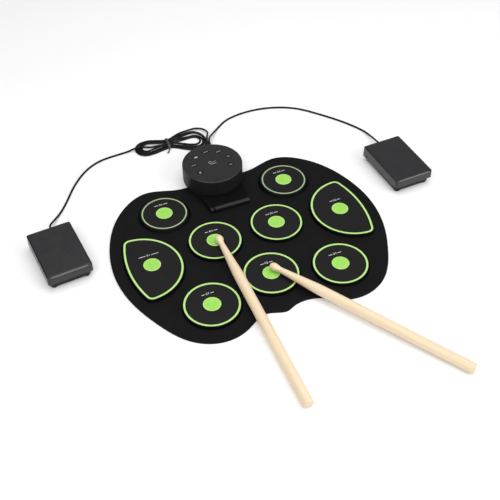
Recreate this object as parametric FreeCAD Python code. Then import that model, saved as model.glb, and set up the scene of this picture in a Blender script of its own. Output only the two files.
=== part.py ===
import FreeCAD, Part
import math
import os

# Roll-up electronic drum kit: a soft nine-pad mat with a round sound module at its back edge,
# two foot pedals on thin cords and a pair of drumsticks.
# Millimetres. Origin: middle of the mat's underside. +X right, +Y towards the module, +Z up.

V = FreeCAD.Vector
UP = V(0, 0, 1)

# ---- driving dimensions ----------------------------------------------------------------
MAT_THICKNESS = 3.0
BASE_SHEET = 1.0
FILM = 0.25
MAT_EDGE_ROUND = 1.2
PAD_TOP = 8.0
PAD_WALL = 1.8
DOT_RADIUS = 13.0
INLAY_DEPTH = 0.5
INLAY_PROUD = 0.1
# hole in the skin under each pad, for its sensor disc and foam
WINDOW = 14.5
SENSOR_RADIUS = 13.5
SENSOR_TOP = BASE_SHEET + FILM + 0.4
# the film's tail stands up at this y, inside the module
TAIL_Y = 117.5
TAIL_HALF_WIDTH = 8.0
TAIL_TOP = 21.5

LINK_FRONT = 80.5
LINK_TOP = 9.0
LINK_SCREWS = [(-27.0, 88.0), (27.0, 88.0), (-30.0, 102.0), (30.0, 102.0)]
LINK_SCREW_RADIUS = 1.0
LINK_HEAD_RADIUS = 2.2
LINK_SCREW_TOP = 7.0

MODULE_Y = 158.5
MODULE_RADIUS = 49.0
MODULE_TOP = 35.5
MODULE_SEAM = 6.5
SHELL = 2.2
BUTTON_COUNT = 7
BUTTON_CIRCLE = 30.5
BUTTON_PITCH_DEG = 40.0
BUTTON_RADIUS = 5.5
BUTTON_TRAVEL = 0.8
BOARD_Z = 24.0
BOARD_THICKNESS = 1.6
KEY_SWITCH_HEIGHT = 3.7
JACK_Z = 13.0
PEDAL_JACK_DEG = 16.0
PHONES_JACK_DEG = -10.0
CHARGE_PORT_DEG = -36.0
JACK_BORE = 1.8
JACK_HOLE = 3.4
# screw bosses, board posts and feet, about the module's centre
BOSS_CIRCLE = 41.0
BOSS_DEGREES = (20.0, 160.0, 235.0, 305.0)
BOSS_SCREW = 1.1
POST_PLACES = ((-33.0, 0.0), (33.0, 0.0), (-24.5, 22.0), (24.5, 22.0))
FOOT_PLACES = ((-26.0, 27.0), (26.0, 27.0), (0.0, 38.0))
FOOT_RADIUS = 4.5
SPEAKER_Y = -12.0
GRILLE_PITCH = 4.6
GRILLE_SLOT = 2.2
# width, depth and height of the charging socket's shell
PORT_SIZE = (9.4, 8.0, 3.6)

PEDAL_WIDTH = 68.4
PEDAL_LENGTH = 102.2
PEDAL_HEIGHT = 26.0
PEDAL_INSET = 3.0
PEDAL_WALL = 2.0
PEDAL_HINGE_Y = 38.0
PEDAL_HINGE_Z = 13.0
PEDAL_PIN = 1.5
# height of the cord where it leaves the pedal, and how far right of the middle
PEDAL_CORD_Z = 9.4
PEDAL_CORD_X = 6.0
PEDAL_EXIT_Y = 64.0
PEDAL_FOOT = 3.2
PEDAL_FLOOR = 4.8
PEDAL_BASE_TOP = 17.5
SPRING_Y = -24.0
SWITCH_Y = 4.0
SWITCH_TOP = 14.8
POST_GAP = 1.4
LUG_X = 22.0
EAR_X = 17.5
# centre x, centre y and heading of each pedal
PEDALS = {
    "left": (-276.6, 72.8, 4.7),
    "right": (288.4, 59.6, 2.6),
}

STICK_LENGTH = 325.0
STICK_RADIUS = 7.8
STICK_LIFT = 0.05
# tip x, tip y, height of the axis at the tip, heading in degrees from +X towards the butt
STICKS = {
    "left": (-47.2, 16.6, 15.0, -90.45),
    "right": (1.8, -70.0, 15.3, -57.6),
}

CORD = 3.2
CORD_REST_Z = CORD / 2.0 + 0.05
# length of the straight lead out of a boot
CORD_LEAD = 10.0
# the pedal plug's boot ends this far from the module's centre, with its two cords side by side
PLUG_END = 85.0
PLUG_CORD_X = 1.75

# Right half of the mat's edge, front middle to back middle. The left half mirrors it.
MAT_HALF_EDGE = [
    (0.0, -148.0),
    (36.0, -142.8),
    (53.0, -148.6),
    (70.0, -159.0),
    (104.0, -167.0),
    (146.5, -151.0),
    (181.8, -103.5),
    (206.3, -42.8),
    (212.8, 10.0),
    (200.6, 76.4),
    (160.2, 142.4),
    (111.5, 166.8),
    (64.0, 154.8),
    (0.0, 158.0),
]

# name: centre x, centre y, ring radius, ring width, pad radius at its top and at the mat
ROUND_PADS = {
    "pad_open_hat": (-102.8, 104.4, 34.5, 1.9, 37.0, 42.0),
    "pad_crash": (102.8, 104.4, 34.5, 1.9, 37.0, 42.0),
    "pad_tom_left": (-51.0, 17.0, 38.5, 2.7, 40.6, 42.6),
    "pad_tom_right": (51.0, 17.0, 38.5, 2.7, 40.6, 42.6),
    "pad_kick": (-101.8, -101.5, 39.4, 2.8, 41.6, 43.6),
    "pad_snare": (0.0, -78.7, 39.4, 2.8, 41.6, 43.6),
    "pad_floor_tom": (101.8, -101.5, 39.4, 2.8, 41.6, 43.6),
}
# Leaf-shaped pads: mirror side, and the y of their long middle line
LEAF_PADS = {
    "pad_closed_hat": -1.0,
    "pad_ride": 1.0,
}
LEAF_Y = 3.5
LEAF_INNER_X = 174.8
LEAF_INNER_R = 62.5
LEAF_OUTER_X = 21.0
LEAF_OUTER_R = 170.0
LEAF_CORNER_R = 9.0
LEAF_RING = 2.9
LEAF_DOT = (155.6, 5.2)

# Cord routes from one end to the other. The ends, and the leads straight out of the boots,
# are set by the fittings.
LEFT_RUN = [
    (-272.3, 154.8, 7.2),
    (-262.8, 165.2, 4.4),
    (-251.0, 179.2, CORD_REST_Z),
    (-238.0, 195.5, CORD_REST_Z),
    (-215.5, 232.5, CORD_REST_Z),
    (-188.5, 262.5, CORD_REST_Z),
    (-160.0, 278.0, CORD_REST_Z),
    (-131.0, 281.0, CORD_REST_Z),
    (-96.0, 282.6, CORD_REST_Z),
]
PLUG_RUN = [
    (4.0, 295.5, 3.6),
    (18.5, 297.0, 3.4),
    (31.0, 290.0, 3.6),
    (35.5, 275.5, 5.4),
    (30.0, 262.5, 9.6),
]
RIGHT_RUN = [
    (36.8, 260.5, 8.8),
    (46.8, 272.5, 4.4),
    (60.0, 285.5, CORD_REST_Z),
    (78.0, 299.0, CORD_REST_Z),
    (103.0, 306.0, CORD_REST_Z),
    (131.0, 307.8, CORD_REST_Z),
    (160.0, 304.2, CORD_REST_Z),
    (189.0, 294.0, CORD_REST_Z),
    (214.5, 277.5, CORD_REST_Z),
    (237.5, 251.5, CORD_REST_Z),
    (259.0, 225.0, CORD_REST_Z),
    (277.0, 198.5, CORD_REST_Z),
    (289.8, 173.5, CORD_REST_Z),
    (290.9, 159.5, 3.8),
    (290.4, 146.2, 7.2),
]

# Folded hank of the left cord: outline of the tied bundle, and the tie around its waist
HANK_OUTLINE = [
    ((-96.5, 291.5), 9.0),
    ((-96.0, 268.0), 8.0),
    ((-80.0, 257.0), 12.0),
    ((-58.0, 259.0), 30.0),
    ((-38.5, 263.0), 60.0),
    ((-10.0, 243.0), 40.0),
    ((19.0, 229.5), 13.0),
    ((28.0, 259.0), 20.0),
    ((13.0, 294.0), 14.0),
    ((-14.0, 295.5), 40.0),
    ((-39.0, 287.0), 60.0),
    ((-66.0, 293.0), 40.0),
]
HANK_HEIGHT = 8.0
WAIST_HEIGHT = 9.6
TIE_X = -38.5
TIE_HALF_WIDTH = 1.6
TIE_Y = (262.0, 288.4)

NODES = {}


# ---- shapes ------------------------------------------------------------------------------
def disc(x, y, z0, z1, radius):
    return Part.makeCylinder(radius, z1 - z0, V(x, y, z0))


def cone(x, y, z0, z1, r0, r1):
    return Part.makeCone(r0, r1, z1 - z0, V(x, y, z0))


def block(x0, x1, y0, y1, z0, z1):
    return Part.makeBox(x1 - x0, y1 - y0, z1 - z0, V(x0, y0, z0))


def turned(profile):
    """Solid of revolution about Z from (radius, z) points of a closed outline."""
    points = [V(r, 0, z) for r, z in profile]
    face = Part.Face(Part.makePolygon(points + [points[0]]))
    return face.revolve(V(0, 0, 0), UP, 360)


def moved(shape, x=0.0, y=0.0, z=0.0):
    out = shape.copy()
    out.translate(V(x, y, z))
    return out


def spun(shape, degrees, x=0.0, y=0.0):
    out = shape.copy()
    out.rotate(V(x, y, 0), UP, degrees)
    return out


def joined(shapes):
    first = shapes[0]
    for other in shapes[1:]:
        first = first.fuse(other)
    return first.removeSplitter()


def cut(shape, tools):
    for tool in tools:
        shape = shape.cut(tool)
    return shape


def prism(wire, z0, z1):
    out = Part.Face(wire).extrude(V(0, 0, z1 - z0))
    out.translate(V(0, 0, z0))
    return out


def rounded_outline(corners, z=0.0):
    """Closed wire of straight lines and tangent arcs through ((x, y), radius) corners."""
    count = len(corners)
    trims = []
    for i in range(count):
        before = V(*corners[i - 1][0], z)
        here = V(*corners[i][0], z)
        after = V(*corners[(i + 1) % count][0], z)
        back = (before - here).normalize()
        ahead = (after - here).normalize()
        half = back.getAngle(ahead) / 2.0
        reach = corners[i][1] / math.tan(half)
        room = 0.49 * min(before.distanceToPoint(here), after.distanceToPoint(here))
        reach = min(reach, room)
        radius = reach * math.tan(half)
        centre = here + (back + ahead).normalize() * (radius / math.sin(half))
        middle = centre + (here - centre).normalize() * radius
        trims.append((here + back * reach, middle, here + ahead * reach))
    edges = []
    for i in range(count):
        start, middle, end = trims[i]
        edges.append(Part.Arc(start, middle, end).toShape())
        edges.append(Part.LineSegment(end, trims[(i + 1) % count][0]).toShape())
    return Part.Wire(edges)


def rounded_rectangle(width, length, radius, z=0.0):
    x = width / 2.0
    y = length / 2.0
    corners = [((-x, -y), radius), ((x, -y), radius), ((x, y), radius), ((-x, y), radius)]
    return rounded_outline(corners, z)


def rim_edges(shape, z):
    """Edges that lie in the plane at height z."""
    found = []
    for edge in shape.Edges:
        box = edge.BoundBox
        if abs(box.ZMin - z) < 1e-4 and abs(box.ZMax - z) < 1e-4:
            found.append(edge)
    return found


def soften(shape, z, radius):
    return shape.makeFillet(radius, rim_edges(shape, z))


def sweep_round(wire, radius):
    start = wire.Edges[0]
    origin = start.valueAt(start.FirstParameter)
    tangent = start.tangentAt(start.FirstParameter)
    circle = Part.Wire(Part.makeCircle(radius, origin, tangent))
    return wire.makePipeShell([circle], True, False)


def cord_path(points):
    """Straight runs joined by tangent arcs, each as large as its two runs allow."""
    spots = [V(*p) for p in points]
    cursor = spots[0]
    edges = []
    radii = []
    for i in range(1, len(spots) - 1):
        back = spots[i - 1] - spots[i]
        ahead = spots[i + 1] - spots[i]
        reach = 0.45 * min(back.Length, ahead.Length)
        back.normalize()
        ahead.normalize()
        half_turn = (math.pi - back.getAngle(ahead)) / 2.0
        radius = reach / math.tan(half_turn)
        enter = spots[i] + back * reach
        leave = spots[i] + ahead * reach
        centre = spots[i] + (back + ahead).normalize() * (radius / math.cos(half_turn))
        middle = centre + (spots[i] - centre).normalize() * radius
        edges.append(Part.LineSegment(cursor, enter).toShape())
        edges.append(Part.Arc(enter, middle, leave).toShape())
        cursor = leave
        radii.append(radius)
    edges.append(Part.LineSegment(cursor, spots[-1]).toShape())
    return Part.Wire(edges), radii


def cord_tube(name, points):
    path, radii = cord_path(points)
    tube = sweep_round(path, CORD / 2.0)
    expected = math.pi * (CORD / 2.0) ** 2 * path.Length
    print(name, "length %.1f" % path.Length, "volume ratio %.4f" % (tube.Volume / expected),
          "smallest radius %.1f" % min(radii), "radii", " ".join("%.0f" % r for r in radii))
    return tube


# ---- mat ---------------------------------------------------------------------------------
def mat_edge():
    right = [V(x, y, 0) for x, y in MAT_HALF_EDGE]
    left = [V(-p.x, p.y, 0) for p in reversed(right[1:-1])]
    curve = Part.BSplineCurve()
    curve.interpolate(Points=right + left, PeriodicFlag=True)
    return Part.Wire(curve.toShape())


def strip(start, end, width, z0, z1):
    along = V(end[0] - start[0], end[1] - start[1], 0)
    bar = block(0, along.Length, -width / 2.0, width / 2.0, z0, z1)
    bar = spun(bar, math.degrees(math.atan2(along.y, along.x)))
    return moved(bar, start[0], start[1])


def pad_centres():
    places = [spec[:2] for spec in ROUND_PADS.values()]
    for side in LEAF_PADS.values():
        places.append((side * LEAF_DOT[0], LEAF_DOT[1]))
    return places


def film_sheet(z0, z1, grow=0.0):
    """Printed sensor film: a round zone under each pad and a track from it to the trunk."""
    trunk_x = 8.0 + grow
    zone = 24.0 + grow
    track = 7.0 + 2.0 * grow
    front_y = -80.0
    pieces = [block(-trunk_x, trunk_x, front_y, TAIL_Y + 5.0 + grow, z0, z1)]
    for x, y in pad_centres():
        pieces.append(disc(x, y, z0, z1, zone))
        if x != 0.0:
            meets_y = min(y, LINK_FRONT / 2.0)
            pieces.append(strip((x, y), (0.0, meets_y), track, z0, z1))
    return joined(pieces)


def make_mat():
    edge = mat_edge()
    film_top = BASE_SHEET + FILM
    NODES["mat_base_sheet"] = prism(edge, 0.0, BASE_SHEET)
    film = film_sheet(BASE_SHEET, film_top)
    tail = block(-TAIL_HALF_WIDTH, TAIL_HALF_WIDTH, TAIL_Y, TAIL_Y + FILM, BASE_SHEET, TAIL_TOP)
    NODES["sensor_film"] = joined([film, tail])
    skin = prism(edge, BASE_SHEET, MAT_THICKNESS)
    skin = soften(skin, MAT_THICKNESS, MAT_EDGE_ROUND)
    pocket = film_sheet(BASE_SHEET - 0.1, film_top, 0.4)
    slot = block(-TAIL_HALF_WIDTH - 1, TAIL_HALF_WIDTH + 1, TAIL_Y - 1, TAIL_Y + 1.5, 0.9, 4.0)
    windows = [disc(x, y, 0.9, 4.0, WINDOW) for x, y in pad_centres()]
    screw_holes = [disc(x, y, 0.9, 4.0, LINK_SCREW_RADIUS) for x, y in LINK_SCREWS]
    NODES["mat_top_skin"] = cut(skin, [pocket, slot] + windows + screw_holes)
    heads = [disc(x, y, -0.1, BASE_SHEET + 0.1, LINK_HEAD_RADIUS) for x, y in LINK_SCREWS]
    NODES["mat_base_sheet"] = cut(NODES["mat_base_sheet"], heads)


# ---- pads --------------------------------------------------------------------------------
def leaf_outline(side, offset, z=0.0):
    """Lens of two arcs with rounded points, grown evenly by offset."""
    inner = V(side * LEAF_INNER_X, LEAF_Y, z)
    outer = V(side * LEAF_OUTER_X, LEAF_Y, z)
    inner_r = LEAF_INNER_R + offset
    outer_r = LEAF_OUTER_R + offset
    corner_r = LEAF_CORNER_R + offset
    a = LEAF_INNER_R - LEAF_CORNER_R
    b = LEAF_OUTER_R - LEAF_CORNER_R
    gap = LEAF_INNER_X - LEAF_OUTER_X
    along = (a * a - b * b + gap * gap) / (2.0 * gap)
    rise = math.sqrt(a * a - along * along)
    top = V(side * (LEAF_INNER_X - along), LEAF_Y + rise, z)
    low = V(side * (LEAF_INNER_X - along), LEAF_Y - rise, z)

    def touch(corner, centre):
        return corner + (corner - centre).normalize() * corner_r

    def tip(corner):
        way = ((corner - inner).normalize() + (corner - outer).normalize()).normalize()
        return corner + way * corner_r

    arcs = [
        Part.Arc(touch(top, inner), inner + V(-side * inner_r, 0, 0), touch(low, inner)),
        Part.Arc(touch(low, inner), tip(low), touch(low, outer)),
        Part.Arc(touch(low, outer), outer + V(side * outer_r, 0, 0), touch(top, outer)),
        Part.Arc(touch(top, outer), tip(top), touch(top, inner)),
    ]
    return Part.Wire([arc.toShape() for arc in arcs])


def inlay_ring_round(radius, width):
    z0 = PAD_TOP - INLAY_DEPTH
    z1 = PAD_TOP + INLAY_PROUD
    outer = disc(0, 0, z0, z1, radius + width / 2.0)
    return outer.cut(disc(0, 0, z0 - 1, z1 + 1, radius - width / 2.0))


def round_pad(radius, width, top_r, foot_r):
    """Hollow rubber cap with grooves for its ring and dot."""
    z = MAT_THICKNESS
    ceiling = PAD_TOP - PAD_WALL
    body = cone(0, 0, z, PAD_TOP, foot_r, top_r)
    body = soften(body, PAD_TOP, 1.0)
    hollow = disc(0, 0, z - 1, ceiling, top_r - 3.0)
    ring = inlay_ring_round(radius, width)
    dot = disc(0, 0, PAD_TOP - INLAY_DEPTH, PAD_TOP + 1, DOT_RADIUS)
    return cut(body, [hollow, ring, dot])


def make_pads():
    ceiling = PAD_TOP - PAD_WALL
    rings = []
    dots = []
    foams = []
    sensors = []
    dot = disc(0, 0, PAD_TOP - INLAY_DEPTH, PAD_TOP + INLAY_PROUD, DOT_RADIUS)
    for name, (x, y, radius, width, top_r, foot_r) in ROUND_PADS.items():
        NODES[name] = moved(round_pad(radius, width, top_r, foot_r), x, y)
        rings.append(moved(inlay_ring_round(radius, width), x, y))
        foam = disc(0, 0, MAT_THICKNESS, ceiling, top_r - 3.3)
        foam = foam.fuse(disc(0, 0, SENSOR_TOP, MAT_THICKNESS, WINDOW - 0.3)).removeSplitter()
        foams.append(moved(foam, x, y))
    for name, side in LEAF_PADS.items():
        foot = leaf_outline(side, 4.6, MAT_THICKNESS)
        top = leaf_outline(side, 2.6, PAD_TOP)
        body = Part.makeLoft([foot, top], True, True)
        body = soften(body, PAD_TOP, 0.9)
        hollow = prism(leaf_outline(side, -1.5), MAT_THICKNESS - 1, ceiling)
        z0 = PAD_TOP - INLAY_DEPTH
        band = prism(leaf_outline(side, LEAF_RING / 2.0), z0, PAD_TOP + INLAY_PROUD)
        band = band.cut(prism(leaf_outline(side, -LEAF_RING / 2.0), z0 - 1, PAD_TOP + 1))
        dot_x = side * LEAF_DOT[0]
        seat = disc(dot_x, LEAF_DOT[1], z0, PAD_TOP + 1, DOT_RADIUS)
        NODES[name] = cut(body, [hollow, band, seat])
        rings.append(band)
        foam = prism(leaf_outline(side, -1.9), MAT_THICKNESS, ceiling)
        plug = disc(dot_x, LEAF_DOT[1], SENSOR_TOP, MAT_THICKNESS, WINDOW - 0.3)
        foams.append(foam.fuse(plug).removeSplitter())
    for x, y in pad_centres():
        dots.append(moved(dot, x, y))
        sensors.append(disc(x, y, BASE_SHEET + FILM, SENSOR_TOP, SENSOR_RADIUS))
    NODES["pad_rings"] = Part.makeCompound(rings)
    NODES["pad_dots"] = Part.makeCompound(dots)
    NODES["pad_foams"] = Part.makeCompound(foams)
    NODES["sensor_discs"] = Part.makeCompound(sensors)


# ---- link between mat and module -----------------------------------------------------------
def make_link():
    corners = [((-33.5, LINK_FRONT), 4.5), ((33.5, LINK_FRONT), 4.5), ((37.5, 118.0), 2.0),
               ((-37.5, 118.0), 2.0)]
    body = prism(rounded_outline(corners), MAT_THICKNESS, LINK_TOP)
    body = soften(body, LINK_TOP, 1.2)
    hollow = block(-23.0, 23.0, LINK_FRONT + 2.5, 130.0, MAT_THICKNESS - 1, LINK_TOP - 2.0)
    clearance = disc(0, MODULE_Y, 0, 40, MODULE_RADIUS + 0.4)
    holes = [disc(x, y, 0, LINK_SCREW_TOP, LINK_SCREW_RADIUS) for x, y in LINK_SCREWS]
    NODES["link_cover"] = cut(body, [hollow, clearance] + holes)
    screws = []
    for x, y in LINK_SCREWS:
        head = disc(x, y, 0.2, BASE_SHEET, LINK_HEAD_RADIUS - 0.2)
        shank = disc(x, y, BASE_SHEET, LINK_SCREW_TOP, LINK_SCREW_RADIUS)
        screws.append(head.fuse(shank).removeSplitter())
    NODES["link_screws"] = Part.makeCompound(screws)


# ---- sound module --------------------------------------------------------------------------
def at_module(shape, degrees=0.0):
    """Place a shape drawn about the module's centre, turned clockwise from the back."""
    return moved(spun(shape, -degrees), 0, MODULE_Y)


def boss_places():
    for angle in BOSS_DEGREES:
        a = math.radians(angle)
        yield BOSS_CIRCLE * math.cos(a), BOSS_CIRCLE * math.sin(a)


def button_places():
    first = 90.0 + BUTTON_PITCH_DEG * (BUTTON_COUNT - 1) / 2.0
    for i in range(BUTTON_COUNT):
        a = math.radians(first - BUTTON_PITCH_DEG * i)
        yield BUTTON_CIRCLE * math.cos(a), BUTTON_CIRCLE * math.sin(a)


def jack_nose(radius, y0, y1):
    return Part.makeCylinder(radius, y1 - y0, V(0, y0, JACK_Z), V(0, 1, 0))


def port_box(grow, y0, y1):
    width, _, height = PORT_SIZE
    x = width / 2.0 + grow
    z = height / 2.0 + grow
    return block(-x, x, y0, y1, JACK_Z - z, JACK_Z + z)


def make_base_shell():
    z = MAT_THICKNESS
    floor = disc(0, 0, z, z + 2.0, 47.0)
    wall = disc(0, 0, z + 2.0, MODULE_SEAM, 47.0)
    lip = disc(0, 0, MODULE_SEAM, 8.4, 46.5)
    body = joined([floor, wall, lip])
    body = body.cut(disc(0, 0, z + 2.0, MODULE_SEAM + 4.0, 44.6))
    posts = [disc(x, y, z + 1.0, BOARD_Z, 2.5) for x, y in POST_PLACES]
    body = joined([body] + posts)
    tools = []
    for i in range(-4, 5):
        half = math.sqrt(22.0 ** 2 - (GRILLE_PITCH * i) ** 2)
        y0 = SPEAKER_Y + GRILLE_PITCH * i - GRILLE_SLOT / 2.0
        tools.append(block(-half, half, y0, y0 + GRILLE_SLOT, z - 1, z + 2.5))
    for x, y in boss_places():
        tools.append(disc(x, y, z - 1, z + 1.4, 2.8))
        tools.append(disc(x, y, z - 1, z + 3.0, BOSS_SCREW + 0.3))
    tail_y = TAIL_Y - MODULE_Y
    tools.append(block(-9.0, 9.0, tail_y - 1, tail_y + 1.5, z - 1, z + 3))
    for x, y in FOOT_PLACES:
        tools.append(disc(x, y, z - 1, z + 0.6, FOOT_RADIUS + 0.1))
    NODES["module_base"] = at_module(cut(body, tools))


def make_top_shell():
    body = disc(0, 0, MODULE_SEAM, MODULE_TOP, MODULE_RADIUS)
    body = body.makeChamfer(1.3, rim_edges(body, MODULE_TOP))
    body = soften(body, MODULE_SEAM, 0.8)
    body = body.cut(disc(0, 0, MODULE_SEAM - 1, MODULE_TOP - 2.0, MODULE_RADIUS - SHELL))
    bosses = [disc(x, y, MAT_THICKNESS + 2.1, MODULE_TOP - 1.0, 3.0) for x, y in boss_places()]
    body = joined([body] + bosses)
    tools = [disc(x, y, MODULE_TOP - 3, MODULE_TOP + 1, BUTTON_RADIUS + 0.3)
             for x, y in button_places()]
    tools += [disc(x, y, 0, 17.0, BOSS_SCREW) for x, y in boss_places()]
    tools.append(spun(jack_nose(JACK_HOLE, 40, 60), -PEDAL_JACK_DEG))
    tools.append(spun(jack_nose(JACK_HOLE, 40, 60), -PHONES_JACK_DEG))
    tools.append(spun(port_box(0.2, 40, 60), -CHARGE_PORT_DEG))
    NODES["module_top"] = at_module(cut(body, tools))


def make_button(x, y):
    """Soft key with a shallow dish, a flange under the lid and a stem over its switch."""
    cap = disc(0, 0, 32.0, MODULE_TOP + 0.3, BUTTON_RADIUS)
    cap = soften(cap, MODULE_TOP + 0.3, 0.4)
    flange = disc(0, 0, 32.0, MODULE_TOP - 2.1, BUTTON_RADIUS + 1.1)
    stem_foot = BOARD_Z + BOARD_THICKNESS + KEY_SWITCH_HEIGHT + BUTTON_TRAVEL + 0.1
    stem = disc(0, 0, stem_foot, 32.0, 1.6)
    body = joined([cap, flange, stem])
    dish_r = 28.0
    dish = Part.makeSphere(dish_r, V(0, 0, MODULE_TOP + dish_r - 0.15))
    return at_module(moved(body.cut(dish), x, y))


def make_module_insides():
    board = disc(0, 0, BOARD_Z, BOARD_Z + BOARD_THICKNESS, 36.0)
    tab = block(-13.0, 13.0, -44.0, -30.0, BOARD_Z, BOARD_Z + BOARD_THICKNESS)
    NODES["main_board"] = at_module(joined([board, tab]))
    z = BOARD_Z + BOARD_THICKNESS
    switches = []
    for x, y in button_places():
        can = block(x - 3, x + 3, y - 3, y + 3, z, z + KEY_SWITCH_HEIGHT - 0.6)
        plunger = disc(x, y, z + 1, z + KEY_SWITCH_HEIGHT, 1.7)
        switches.append(can.fuse(plunger).removeSplitter())
    NODES["key_switches"] = at_module(Part.makeCompound(switches))
    tail_y = TAIL_Y - MODULE_Y
    plug = block(-11.0, 11.0, tail_y - 2.3, tail_y + 2.5, 20.0, BOARD_Z)
    slit = block(-TAIL_HALF_WIDTH - 0.2, TAIL_HALF_WIDTH + 0.2, tail_y - 0.1, tail_y + FILM + 0.1,
                 19.0, TAIL_TOP + 0.2)
    NODES["film_connector"] = at_module(plug.cut(slit))
    frame = turned([(22.0, 5.1), (25.0, 5.1), (25.0, 6.6), (23.4, 7.6), (14.0, 13.0),
                    (14.0, 18.5), (0.0, 18.5), (0.0, 13.5), (12.0, 13.5), (12.0, 12.2),
                    (22.0, 6.6)])
    NODES["speaker_frame"] = at_module(moved(frame, 0, SPEAKER_Y))
    paper = turned([(0.0, 8.4), (7.0, 9.6), (21.6, 5.6), (21.6, 6.4), (12.0, 11.2), (8.0, 12.9),
                    (0.0, 12.9)])
    NODES["speaker_cone"] = at_module(moved(paper, 0, SPEAKER_Y))
    cell = prism(rounded_rectangle(36.0, 12.5, 2.0), 5.2, 22.0)
    NODES["battery"] = at_module(moved(cell, 0, 22.0))
    heads = []
    for x, y in boss_places():
        head = disc(x, y, MAT_THICKNESS + 0.2, MAT_THICKNESS + 1.4, 2.6)
        heads.append(head.fuse(disc(x, y, MAT_THICKNESS + 1.4, 15.0, BOSS_SCREW)).removeSplitter())
    NODES["module_screws"] = at_module(Part.makeCompound(heads))
    feet = []
    for x, y in FOOT_PLACES:
        foot = cone(x, y, 0, 1.0, FOOT_RADIUS - 0.5, FOOT_RADIUS)
        feet.append(foot.fuse(disc(x, y, 1.0, MAT_THICKNESS + 0.6, FOOT_RADIUS)).removeSplitter())
    NODES["module_feet"] = at_module(Part.makeCompound(feet))


def make_sockets():
    for name, angle in (("pedal_jack", PEDAL_JACK_DEG), ("phones_jack", PHONES_JACK_DEG)):
        can = block(-4.6, 4.6, 33.5, 46.0, JACK_Z - 4.4, JACK_Z + 4.4)
        nose = jack_nose(JACK_HOLE - 0.2, 46.0, MODULE_RADIUS)
        body = joined([can, nose]).cut(jack_nose(JACK_BORE, 34.5, 60))
        NODES[name] = at_module(body, angle)
    width, depth, height = PORT_SIZE
    mouth = port_box(-0.4, MODULE_RADIUS - depth + 1.0, 60)
    tongue = block(-width / 2.0 + 1.6, width / 2.0 - 1.6, MODULE_RADIUS - depth, MODULE_RADIUS - 1.5,
                   JACK_Z - 0.4, JACK_Z + 0.4)
    body = port_box(0.0, MODULE_RADIUS - depth, MODULE_RADIUS - 0.4).cut(mouth).fuse(tongue)
    NODES["charge_port"] = at_module(body.removeSplitter(), CHARGE_PORT_DEG)


def make_module():
    make_base_shell()
    make_top_shell()
    for i, (x, y) in enumerate(button_places()):
        NODES["button_%d" % (i + 1)] = make_button(x, y)
    make_module_insides()
    make_sockets()


# ---- foot pedals ---------------------------------------------------------------------------
def at_pedal(shape, side):
    x, y, degrees = PEDALS[side]
    return moved(spun(shape, degrees), x, y)


def cylinder_x(x0, x1, y, z, radius):
    return Part.makeCylinder(radius, x1 - x0, V(x0, y, z), V(1, 0, 0))


def pedal_cover():
    """Cap with slightly flared skirts, deeper towards the cord end, and two hinge lugs."""
    top = PEDAL_HEIGHT
    flare = 0.8
    low = 6.0
    wall = PEDAL_WALL
    outer = Part.makeLoft([
        rounded_rectangle(PEDAL_WIDTH + flare, PEDAL_LENGTH + flare, 3.4, low),
        rounded_rectangle(PEDAL_WIDTH, PEDAL_LENGTH, 3.0, top)], True, True)
    outer = soften(outer, top, 1.3)
    inner = Part.makeLoft([
        rounded_rectangle(PEDAL_WIDTH + flare - 2 * wall, PEDAL_LENGTH + flare - 2 * wall, 1.4, low - 1),
        rounded_rectangle(PEDAL_WIDTH - 2 * wall, PEDAL_LENGTH - 2 * wall, 1.0, top - wall)],
        True, True)
    body = outer.cut(inner)
    reach = 60.0
    rake = Part.makePolygon([V(-reach, -reach, 0), V(-reach, -reach, 12.6), V(-reach, reach, 8.0),
                             V(-reach, reach, 0), V(-reach, -reach, 0)])
    body = body.cut(Part.Face(rake).extrude(V(2 * reach, 0, 0)))
    for x in (-LUG_X, LUG_X):
        web = block(x - 1.5, x + 1.5, PEDAL_HINGE_Y - 4, PEDAL_HINGE_Y + 4, PEDAL_HINGE_Z,
                    top - wall + 0.1)
        body = body.fuse(web)
        body = body.fuse(cylinder_x(x - 1.5, x + 1.5, PEDAL_HINGE_Y, PEDAL_HINGE_Z, 4.0))
    body = body.fuse(disc(0, SPRING_Y, top - wall - 3.0, top - wall + 0.1, 2.6))
    body = body.fuse(disc(0, SWITCH_Y, SWITCH_TOP + POST_GAP, top - wall + 0.1, 3.0))
    body = body.removeSplitter()
    body = body.cut(cylinder_x(-40, 40, PEDAL_HINGE_Y, PEDAL_HINGE_Z, PEDAL_PIN + 0.05))
    gate = block(-5.0, 5.0, PEDAL_LENGTH / 2.0 - 6, PEDAL_LENGTH / 2.0 + 4, 0, 14.0)
    return body.cut(moved(gate, PEDAL_CORD_X))


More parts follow.
